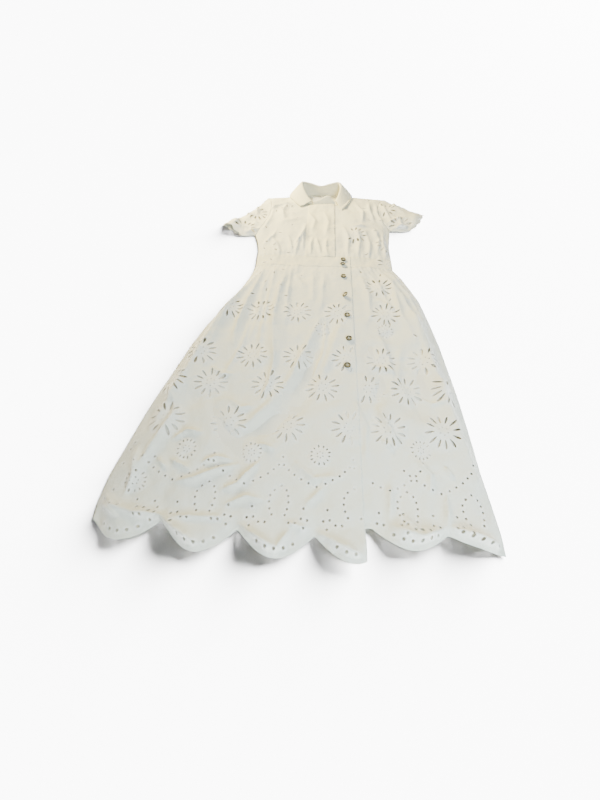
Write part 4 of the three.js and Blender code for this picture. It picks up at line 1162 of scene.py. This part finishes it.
def mouth_line(section, outward, places, inset=0):
    """Wavy mouth of a sleeve from its outermost section, or a line set in from it."""
    top_u, top_v, foot_u, foot_v, bow = section
    line = []
    for t in places:
        wave = MOUTH_WAVE * abs(math.sin(MOUTH_WAVES * math.pi * t))
        out = bow * math.sin(math.pi * t) + wave - inset
        line.append((top_u + (foot_u - top_u) * t + outward * out, top_v + (foot_v - top_v) * t))
    return line


def sleeve_outline(sleeve, step):
    """Outline of one sleeve panel: top fold, mouth, underarm fold and armhole."""
    armhole = [(float(sleeve.side(v)) + sleeve.outward * 0.5, v)
               for v in np.linspace(sleeve.shoulder, sleeve.underarm, 40)]
    mouth = mouth_line(sleeve.sections[-1], sleeve.outward, np.linspace(0, 1, 49))
    top = [armhole[0], *[row[0:2] for row in sleeve.sections]]
    foot = [*[row[2:4] for row in sleeve.sections][::-1], armhole[-1]]
    return closed_outline([top, mouth, foot, armhole[::-1]], step)


Sleeve = namedtuple("Sleeve", "name sections side shoulder underarm outward")
SLEEVES = (
    Sleeve("sleeve_right", SLEEVE_RIGHT, side_left, SHOULDER_LEFT, UNDERARM_LEFT, -1),
    Sleeve("sleeve_left", SLEEVE_LEFT, side_right, SHOULDER_RIGHT, UNDERARM_RIGHT, 1),
)


def back_level(u, v):
    """Height of the underside of the back, which follows the front a little."""
    soft = BACK_CREASES * (crease_relief(u, v) + gather_relief(u, v))
    front, away = cloth_level(u, v)
    hem = np.where(u < SKIRT_EDGE, hem_line(SCALLOPS_OVER, u), hem_line(SCALLOPS_UNDER, u))
    inside = ease((away - BACK_SIDE_FLAT) / BACK_SIDE_EASE)
    inside *= ease((v - SKIRT_TOP) / BACK_WAIST_EASE) * ease((hem - v) / BACK_HEM_EASE)
    return BACK_LEVEL + np.clip(soft, 0, BACK_CREASE_MOST) + BACK_RISE * (front - BED) * inside


def back_bodice_outline():
    neck = [(NECK_U + NECK_ACROSS * t, BACK_NECK_V + BACK_NECK_SAG * t * t - BACK_NECK_TILT * t)
            for t in np.linspace(-1, 1, 25)]
    return closed_outline([
        [*neck, (float(side_right(SHOULDER_RIGHT)), SHOULDER_RIGHT)],
        side_line(side_right, SHOULDER_RIGHT, BAND_FOOT),
        [(WAIST_RIGHT, BAND_FOOT), (WAIST_LEFT, BAND_FOOT)],
        side_line(side_left, SHOULDER_LEFT, BAND_FOOT)[::-1],
        [(float(side_left(SHOULDER_LEFT)), SHOULDER_LEFT), neck[0]],
    ], 7)


def back_skirt_outline():
    hem = []
    for u in np.linspace(HEM_LEFT, HEM_RIGHT, 240):
        scallops = SCALLOPS_OVER if u < SKIRT_EDGE else SCALLOPS_UNDER
        hem.append((u, float(hem_line(scallops, u)) - BACK_HEM_IN))
    left, right = [side_line(side, SKIRT_TOP, SIDE_FOOT) for side in (side_left, side_right)]
    return closed_outline([
        [left[0], right[0]], right, [right[-1], hem[-1]], hem[::-1], [hem[0], left[-1]],
        left[::-1],
    ], 5)


class DRESS_OT_back(bpy.types.Operator):
    """Back of the bodice, back of the skirt and back halves of the sleeves, lying flat"""
    bl_idname = "dress.back"
    bl_label = "Back panels"

    def execute(self, context):
        sizes = sizes_of(context)
        parts = [("back_bodice", back_bodice_outline()), ("back_skirt", back_skirt_outline())]
        for sleeve in SLEEVES:
            parts.append((f"{sleeve.name}_back", sleeve_outline(sleeve, 5)))
        for solid, outline in parts:
            panel(solid, outline, back_level, sizes, SHADED_BACK_LAWN,
                  thickness=sizes.back_thickness / MM, step=9)
        return {"FINISHED"}


class DRESS_OT_bodice(bpy.types.Operator):
    """Two fronts of the bodice, pierced with eyelets, and the plain strip over the closing"""
    bl_idname = "dress.bodice"
    bl_label = "Bodice fronts"

    def execute(self, context):
        sizes = sizes_of(context)

        def top_line(start, end):
            return [(u, float(front_top(u))) for u in np.linspace(start, end, 90)]

        def upright(u):
            return [(u, float(front_top(u))), (u, BODICE_FOOT)]

        def foot_line(start, end):
            return [(start, BODICE_FOOT), (end, BODICE_FOOT)]

        def gathered(left, right):
            top, foot = BODICE_GATHERED
            return [(left, top), (right, top), (right, foot), (left, foot)]

        over = closed_outline([
            top_line(SHOULDER_ENDS[0], BODICE_EDGE),
            upright(BODICE_EDGE),
            foot_line(BODICE_EDGE, float(side_left(BODICE_FOOT))),
            side_line(side_left, SHOULDER_LEFT, BODICE_FOOT)[::-1],
        ], OUTLINE_STEP)
        under = closed_outline([
            top_line(BODICE_UNDERLAP, SHOULDER_ENDS[1]),
            side_line(side_right, SHOULDER_RIGHT, BODICE_FOOT),
            foot_line(float(side_right(BODICE_FOOT)), BODICE_UNDERLAP),
            upright(BODICE_UNDERLAP)[::-1],
        ], OUTLINE_STEP)
        strip = closed_outline([
            top_line(STRIP_EDGE, BODICE_EDGE),
            upright(BODICE_EDGE),
            foot_line(BODICE_EDGE, STRIP_EDGE),
            upright(STRIP_EDGE)[::-1],
        ], OUTLINE_STEP)
        panel("front_bodice_right", over, bodice_over_level, sizes, LAWN,
              eyelets_between(sizes, -FAR, STRIP_EDGE - 2), fine=gathered(-206, 24))
        panel("front_bodice_left", under, front_level, sizes, LAWN,
              eyelets_between(sizes, BODICE_PIERCED_FROM, FAR), fine=gathered(30, 190))
        panel("front_strip", strip, lambda u, v: bodice_over_level(u, v) + STRIP_LIFT, sizes,
              POPLIN, fine=gathered(-64, 24), thickness=STRIP_CLOTH)
        return {"FINISHED"}


class DRESS_OT_waistband(bpy.types.Operator):
    """Two halves of the waistband, plain towards the closing edge and pierced at the sides"""
    bl_idname = "dress.waistband"
    bl_label = "Waistband"

    def execute(self, context):
        sizes = sizes_of(context)
        right_holes = eyelets_between(sizes, -FAR, BAND_PIERCED[0])
        left_holes = eyelets_between(sizes, BAND_PIERCED[1], FAR)
        for solid, level, left, right, holes in (
            ("waistband_right", band_over_level, side_left, lambda v: SKIRT_EDGE, right_holes),
            ("waistband_left", front_level, lambda v: SKIRT_UNDERLAP, side_right, left_holes),
        ):
            outline = closed_outline([
                [(float(left(BAND_TOP)), BAND_TOP), (float(right(BAND_TOP)), BAND_TOP)],
                side_line(right, BAND_TOP, BAND_FOOT),
                [(float(right(BAND_FOOT)), BAND_FOOT), (float(left(BAND_FOOT)), BAND_FOOT)],
                side_line(left, BAND_TOP, BAND_FOOT)[::-1],
            ], OUTLINE_STEP)
            panel(solid, outline, level, sizes, POPLIN, holes, thickness=BAND_CLOTH, step=4.2)
        return {"FINISHED"}


class DRESS_OT_skirt(bpy.types.Operator):
    """Two gathered fronts of the skirt with their eyelets and scalloped hem"""
    bl_idname = "dress.skirt"
    bl_label = "Skirt fronts"

    def execute(self, context):
        sizes = sizes_of(context)
        panel("front_skirt_right",
              skirt_outline(side_left, lambda v: SKIRT_EDGE, SCALLOPS_OVER),
              with_bound_edge(skirt_over_level, SCALLOPS_OVER), sizes, LAWN,
              eyelets_between(sizes, -FAR, FAR),
              fine=[(-225, 431), (40, 431), (40, 540), (-238, 540)],
              extra=hem_extra(SCALLOPS_OVER, -408, SKIRT_EDGE))
        panel("front_skirt_left",
              skirt_outline(lambda v: SKIRT_UNDERLAP, side_right, SCALLOPS_UNDER),
              with_bound_edge(front_level, SCALLOPS_UNDER), sizes, LAWN,
              eyelets_between(sizes, SKIRT_EDGE + 3, FAR),
              fine=[(74, 431), (192, 431), (238, 540), (74, 540)],
              extra=hem_extra(SCALLOPS_UNDER, SKIRT_UNDERLAP, 304))
        return {"FINISHED"}


class DRESS_OT_sleeves(bpy.types.Operator):
    """Front halves of the short sleeves, with wavy mouths and eyelets"""
    bl_idname = "dress.sleeves"
    bl_label = "Sleeves"

    def execute(self, context):
        sizes = sizes_of(context)
        for sleeve in SLEEVES:
            panel(f"{sleeve.name}_front", sleeve_outline(sleeve, 4), front_level, sizes, LAWN,
                  all_eyelets(sizes), step=4)
        return {"FINISHED"}


class DRESS_OT_collar(bpy.types.Operator):
    """Standing collar with its fall, and the front corner of the stand"""
    bl_idname = "dress.collar"
    bl_label = "Collar"

    def execute(self, context):
        s = smooth_table(COLLAR, COLLAR_SECTIONS)
        outward = neck_outward(s)
        up_stand = np.linspace(0, 1, 9)
        rows = []
        for t in up_stand:
            bulge = STAND_BULGE * math.sin(math.pi * t)
            u = s[:, 0] + (s[:, 2] - s[:, 0]) * t + outward[:, 0] * bulge
            v = s[:, 1] + (s[:, 3] - s[:, 1]) * t + outward[:, 1] * bulge
            z = seam_level(s[:, 1]) * (1 - t) + s[:, 4] * t
            rows.append(np.stack([u, v, z], 1))
        stand = grid_piece("collar_stand", np.array(rows), STAND_CLOTH)

        fold = collar_fall_point(s, 0)
        rows = []
        for inward, drop in FOLD_ROLL:
            ring = fold.copy()
            ring[:, 0:2] -= outward * inward
            ring[:, 2] += drop
            rows.append(ring)
        rows += [collar_fall_point(s, t) + (0, 0, FALL_LIFT) for t in np.linspace(0.03, 1, 18)]
        grid = np.array(rows)
        fall = grid_piece("collar_fall", grid, FALL_CLOTH)

        front = smooth_table(STAND_FRONT, 41)
        base = front_top(front[:, 0]) - 2 * SEAM
        rows = []
        for t in up_stand:
            z = seam_level(base) * (1 - t) + front[:, 1] * t
            rows.append(np.stack([front[:, 0], base - front[:, 2] * t ** 1.3, z], 1))
        corner = grid_piece("collar_stand_front", np.array(rows[::-1]), STAND_CLOTH)
        return {"FINISHED"}


class DRESS_OT_label(bpy.types.Operator):
    """Bare satin label inside the back of the neck"""
    bl_idname = "dress.label"
    bl_label = "Label"

    def execute(self, context):
        u0, u1, v0, v1 = LABEL_BOX
        made = bmesh.new()
        bmesh.ops.create_grid(made, x_segments=30, y_segments=16, size=0.5)
        for vertex in made.verts:
            across = vertex.co.x + 0.5
            u = u0 + (u1 - u0) * across
            v = v0 + (v1 - v0) * (0.5 - vertex.co.y)
            wave = LABEL_WAVE * math.sin((u + v) / 9) * math.sin(math.pi * across)
            vertex.co = Vector(to_row([(u, v, BED + LABEL_LEVEL + abs(wave))])[0])
        piece = link_piece("label_satin", to_mesh("label_satin", made), ["white_satin_label"],
                           ["label"])
        thicken(piece, LABEL_CLOTH)
        return {"FINISHED"}


def circle(radius, count, centre=(0, 0)):
    """Points evenly spaced round a circle."""
    angles = np.arange(count) * 2 * math.pi / count
    return [(centre[0] + radius * math.cos(a), centre[1] + radius * math.sin(a)) for a in angles]


def add_button_shell(made, sides):
    """Outer shell: underside, edge, rim and the slope down to the dish."""
    chain = [made.verts.new((x, 0, z)) for x, z in BUTTON_PROFILE]
    edges = [made.edges.new(pair) for pair in zip(chain, chain[1:])]
    bmesh.ops.spin(made, geom=chain + edges, axis=(0, 0, 1), cent=(0, 0, 0),
                   angle=2 * math.pi, steps=sides, use_merge=True)
    bmesh.ops.remove_doubles(made, verts=made.verts, dist=0.02)


def add_button_dish(made, sides):
    """Dish floor with its four holes, joined to the shell at its outer ring."""
    points = circle(DISH_RADIUS, sides)
    faces = [list(range(sides))]
    for turn in (45, 135, 225, 315):
        a = math.radians(turn)
        centre = (BUTTON_HOLE_OFF * math.cos(a), BUTTON_HOLE_OFF * math.sin(a))
        faces.append(list(range(len(points), len(points) + BUTTON_HOLE_SIDES)))
        points += circle(BUTTON_HOLE, BUTTON_HOLE_SIDES, centre)
    for radius in DISH_RINGS:
        points += circle(radius, 20)
    flat, _, triangles, _, _, inside_of = delaunay_2d_cdt(
        [Vector(p) for p in points], [], faces, 1, 1e-6, True)
    corner = {}
    for tri, inside in zip(triangles, inside_of):
        if any(i > 0 for i in inside):
            continue
        for i in tri:
            if i not in corner:
                far = flat[i].length / DISH_RADIUS
                z = DISH_LEVEL + 0.05 - DISH_DEPTH * (1 - far ** 2)
                corner[i] = made.verts.new((*flat[i], z))
        face = made.faces.new([corner[i] for i in tri])
        face.material_index = 1
    bmesh.ops.remove_doubles(made, verts=made.verts, dist=0.02)


def add_button_wells(made):
    """Wells of the four holes."""
    rims = [edge for edge in made.edges if edge.is_boundary]
    sunk = bmesh.ops.extrude_edge_only(made, edges=rims)
    lower = [item for item in sunk["geom"] if isinstance(item, bmesh.types.BMVert)]
    bmesh.ops.translate(made, verts=lower, vec=(0, 0, -BUTTON_HOLE_DEPTH))
    rims = [edge for edge in made.edges if edge.is_boundary]
    bmesh.ops.holes_fill(made, edges=rims, sides=12)


def add_button_thread(made):
    """Thread through the holes: two rounded bars."""
    long, thick, above = THREAD_BAR
    for side in (-1, 1):
        bar = bmesh.ops.create_uvsphere(made, u_segments=10, v_segments=6, radius=1)["verts"]
        for vertex in bar:
            x, y, z = vertex.co
            vertex.co = Vector((x * long, y * thick + side * BUTTON_HOLE_OFF * 0.707,
                                z * thick + DISH_LEVEL + above))
        for face in {face for vertex in bar for face in vertex.link_faces}:
            face.material_index = 2


def turned(x, y, angle):
    return x * math.cos(angle) - y * math.sin(angle), x * math.sin(angle) + y * math.cos(angle)


class DRESS_OT_buttons(bpy.types.Operator):
    """Seven four-hole buttons down the closing edge, two of them tipped"""
    bl_idname = "dress.buttons"
    bl_label = "Buttons"

    def execute(self, context):
        sides = sizes_of(context).button_sides
        for number, (u, v, tip, lean) in enumerate(BUTTONS, 1):
            self.one_button(number, u, v, math.radians(tip), math.radians(lean), sides)
        return {"FINISHED"}

    def one_button(self, number, u, v, tip, lean, sides):
        low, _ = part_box(f"button_{number}")
        drop = max(BUTTON_FOOT * math.sin(tip),
                   BUTTON_RADIUS * math.sin(tip) - BUTTON_EDGE * math.cos(tip))
        made = bmesh.new()
        add_button_shell(made, sides)
        add_button_dish(made, sides)
        add_button_wells(made)
        add_button_thread(made)
        bmesh.ops.recalc_face_normals(made, faces=made.faces)
        for vertex in made.verts:
            x, y, z = vertex.co
            x, y = turned(x, y, math.radians(BUTTON_TURN * number))
            x, z = x * math.cos(tip) + z * math.sin(tip), z * math.cos(tip) - x * math.sin(tip)
            x, y = turned(x, y, lean)
            vertex.co = Vector(((x + u + CENTRE_X) * MM, (y - v + CENTRE_Y) * MM,
                                (z + drop) * MM + low.z))
        name = f"turned_button_{number}"
        materials = ["imitation_horn_rim", "pearly_button_middle", "cotton_sewing_thread"]
        link_piece(name, to_mesh(name, made), materials, [f"button_{number}"])


def stitch_rows(name, lines, sizes, slot):
    """Rows of small raised stitches along lines on the cloth, as one mesh."""
    length, gap = sizes.stitch_length / MM, sizes.stitch_gap / MM
    width = sizes.stitch_width / MM
    points, faces = [], []
    for line in lines:
        dense = along_line(line, 1.0)
        total = np.linalg.norm(np.diff(dense, axis=0), axis=1)
        place = np.concatenate([[0], np.cumsum(total)])
        starts = np.arange(0, place[-1] - length, length + gap)
        ends = [np.stack([np.interp(starts + more, place, dense[:, i]) for i in range(3)], 1)
                for more in (0, length)]
        centre, along = (ends[0] + ends[1]) / 2, ends[1] - ends[0]
        along /= np.linalg.norm(along, axis=1)[:, None]
        side = np.cross((0, 0, 1), along)
        side /= np.linalg.norm(side, axis=1)[:, None]
        up = np.cross(along, side)
        for c, a, s, n in zip(centre, along, side, up):
            first = len(points)
            for x, y, z in STITCH_SHAPE:
                points.append(c + a * x * length / 2 + s * y * width / 2 + n * z * width / 2)
            faces += [tuple(first + i for i in face) for face in STITCH_FACES]
    return new_object(name, np.array(points), faces, "cotton_sewing_thread", slot)


def on_cloth(level, points, lift):
    """Points closely spaced along a line, lifted over a level."""
    points = along_line(points, 2.0)
    return np.column_stack([points, level(points[:, 0], points[:, 1]) + lift])


def fall_edge_lines():
    """Lines just inside the free edge and the two ends of the collar's fall."""
    s = smooth_table(COLLAR, COLLAR_SECTIONS)
    lift = (0, 0, FALL_LIFT + STITCH_LIFT)
    to_edge = 1 - FALL_STITCH_IN / np.hypot(s[:, 5] - s[:, 2], s[:, 6] - s[:, 3])
    first, last = 2, COLLAR_SECTIONS - 3
    edge = [collar_fall_point(s[i:i + 1], to_edge[i])[0] + lift for i in range(first, last + 1)]
    ends = []
    for i in (first, last):
        ends.append(np.array([collar_fall_point(s[i:i + 1], t)[0] + lift
                              for t in np.linspace(0.08, to_edge[i], 12)]))
    return [np.array(edge), *ends]


class DRESS_OT_stitching(bpy.types.Operator):
    """Topstitching of the collar, strip, waistband, closing edge, hem and sleeve mouths"""
    bl_idname = "dress.stitching"
    bl_label = "Stitching"

    def execute(self, context):
        sizes = sizes_of(context)
        lift = sizes.cloth_thickness / MM + STITCH_LIFT

        inside_edge = BODICE_EDGE - 4
        stitch_rows("stitching_bodice", [
            on_cloth(bodice_over_level, [(inside_edge, 103), (inside_edge, 384)],
                     STRIP_LIFT + STRIP_CLOTH + STITCH_LIFT),
            on_cloth(front_level, [(31, 312), (46, 312)], lift),
            on_cloth(front_level, [(56, 104), (56, 384)], lift),
        ], sizes, "cloth")

        band_lift = BAND_CLOTH + STITCH_LIFT
        inside_edge = SKIRT_EDGE - 4
        top, foot = BAND_TOP + 3, BAND_FOOT - 3
        band = []
        for v in (top, foot):
            band.append(on_cloth(band_over_level, [(-203, v), (inside_edge, v)], band_lift))
            band.append(on_cloth(front_level, [(SKIRT_EDGE + 4, v), (188, v)], band_lift))
        band.append(on_cloth(band_over_level, [(inside_edge, top), (inside_edge, foot)],
                             band_lift))
        stitch_rows("stitching_waistband", band, sizes, "plain_cloth")

        skirt = [
            on_cloth(skirt_over_level, [(SKIRT_EDGE - inset, 434), (SKIRT_EDGE - inset, end)], lift)
            for inset, end in ((5, 1160), (40, 880))
        ]
        for level, scallops, us in (
            (skirt_over_level, SCALLOPS_OVER, np.linspace(-404, SKIRT_EDGE - 4, 160)),
            (front_level, SCALLOPS_UNDER, np.linspace(SKIRT_EDGE + 3, 300, 80)),
        ):
            hem = [(u, float(hem_line(scallops, u)) - HEM_STITCH_IN) for u in us]
            skirt.append(on_cloth(with_bound_edge(level, scallops), hem, lift))
        stitch_rows("stitching_skirt", skirt, sizes, "cloth")

        stitch_rows("stitching_collar", fall_edge_lines(), sizes, "plain_cloth")

        mouths = []
        for sleeve in SLEEVES:
            line = mouth_line(sleeve.sections[-1], sleeve.outward, np.linspace(0.04, 0.96, 60), 4)
            mouths.append(on_cloth(front_level, line, lift))
        stitch_rows("stitching_sleeves", mouths, sizes, "cloth")
        return {"FINISHED"}


# ---------------------------------------------------------------- stage

class DRESS_OT_stage(bpy.types.Operator):
    """Pale floor, soft lights and the camera"""
    bl_idname = "dress.stage"
    bl_label = "Stage"

    def execute(self, context):
        floor = self.make_floor(context)
        world = bpy.data.worlds.new("soft_white_room")
        world.use_nodes = True
        background = world.node_tree.nodes["Background"]
        background.inputs["Color"].default_value = ROOM_COLOUR
        background.inputs["Strength"].default_value = ROOM_STRENGTH
        context.scene.world = world

        only_floor = bpy.data.collections.new("lit_by_floor_light")
        only_floor.objects.link(floor)
        not_floor = bpy.data.collections.new("lit_by_window_and_sky")
        for piece in context.scene.collection.objects:
            if piece.type == "MESH" and piece != floor:
                not_floor.objects.link(piece)
        for name, watts, size, spread, colour, place, aim in AREA_LIGHTS:
            lamp = bpy.data.lights.new(name, "AREA")
            lamp.energy = watts
            lamp.size = size
            lamp.spread = math.radians(spread)
            lamp.color = colour
            self.place_light(context, lamp, place, aim, not_floor)
        # Low light on the floor alone, which keeps it white and draws long soft shadows.
        low_sun = bpy.data.lights.new("floor_light", "SUN")
        low_sun.energy = SUN_STRENGTH
        low_sun.angle = math.radians(SUN_ANGLE)
        self.place_light(context, low_sun, SUN_PLACE, (0, 0, 0), only_floor)

        view = bpy.data.cameras.new("camera")
        view.lens = CAMERA_LENS
        view.clip_start = 0.01
        view.clip_end = 100
        camera = bpy.data.objects.new("camera", view)
        camera.location = CAMERA_PLACE
        camera.rotation_euler = (math.radians(CAMERA_TILT), 0, math.radians(CAMERA_TURN))
        context.scene.collection.objects.link(camera)
        context.scene.camera = camera
        return {"FINISHED"}

    def make_floor(self, context):
        made = bmesh.new()
        bmesh.ops.create_grid(made, x_segments=1, y_segments=1, size=8)
        bmesh.ops.translate(made, verts=made.verts, vec=(0, 0, -FLOOR_DROP))
        mesh = to_mesh("floor", made)
        mesh.materials.append(bpy.data.materials["matt_white_floor"])
        floor = bpy.data.objects.new("floor", mesh)
        context.scene.collection.objects.link(floor)
        return floor

    def place_light(self, context, lamp, place, aim, lit):
        """Hangs a lamp that lights only the pieces in a collection."""
        light = bpy.data.objects.new(lamp.name, lamp)
        light.location = place
        direction = Vector(aim) - Vector(place)
        light.rotation_euler = direction.to_track_quat("-Z", "Y").to_euler()
        light.visible_camera = False
        light.light_linking.receiver_collection = lit
        context.scene.collection.objects.link(light)


OPERATORS = (
    DRESS_OT_back, DRESS_OT_bodice, DRESS_OT_waistband, DRESS_OT_skirt, DRESS_OT_sleeves,
    DRESS_OT_collar, DRESS_OT_label, DRESS_OT_buttons, DRESS_OT_stitching, DRESS_OT_stage,
)


class DRESS_PT_panel(bpy.types.Panel):
    """Buttons for each group of pieces, with the sizes and colours"""
    bl_idname = "DRESS_PT_panel"
    bl_label = "Eyelet Shirt Dress"
    bl_space_type = "VIEW_3D"
    bl_region_type = "UI"
    bl_category = "Dress"

    def draw(self, context):
        for operator in OPERATORS:
            self.layout.operator(operator.bl_idname)
        for group in (context.scene.dress_sizes, context.scene.dress_colours):
            for key in group.bl_rna.properties.keys():
                if key not in {"rna_type", "name"}:
                    self.layout.prop(group, key)


CLASSES = (DressSizes, DressColours, *OPERATORS, DRESS_PT_panel)


def register():
    for item in CLASSES:
        bpy.utils.register_class(item)
    bpy.types.Scene.dress_sizes = PointerProperty(type=DressSizes)
    bpy.types.Scene.dress_colours = PointerProperty(type=DressColours)


def unregister():
    del bpy.types.Scene.dress_colours
    del bpy.types.Scene.dress_sizes
    for item in reversed(CLASSES):
        bpy.utils.unregister_class(item)


def main():
    register()
    make_materials(bpy.context.scene.dress_colours)
    bpy.ops.dress.back()
    bpy.ops.dress.bodice()
    bpy.ops.dress.waistband()
    bpy.ops.dress.skirt()
    bpy.ops.dress.sleeves()
    bpy.ops.dress.collar()
    bpy.ops.dress.label()
    bpy.ops.dress.buttons()
    bpy.ops.dress.stitching()
    bpy.ops.dress.stage()
    bpy.context.view_layer.update()


if __name__ == "__main__":
    main()
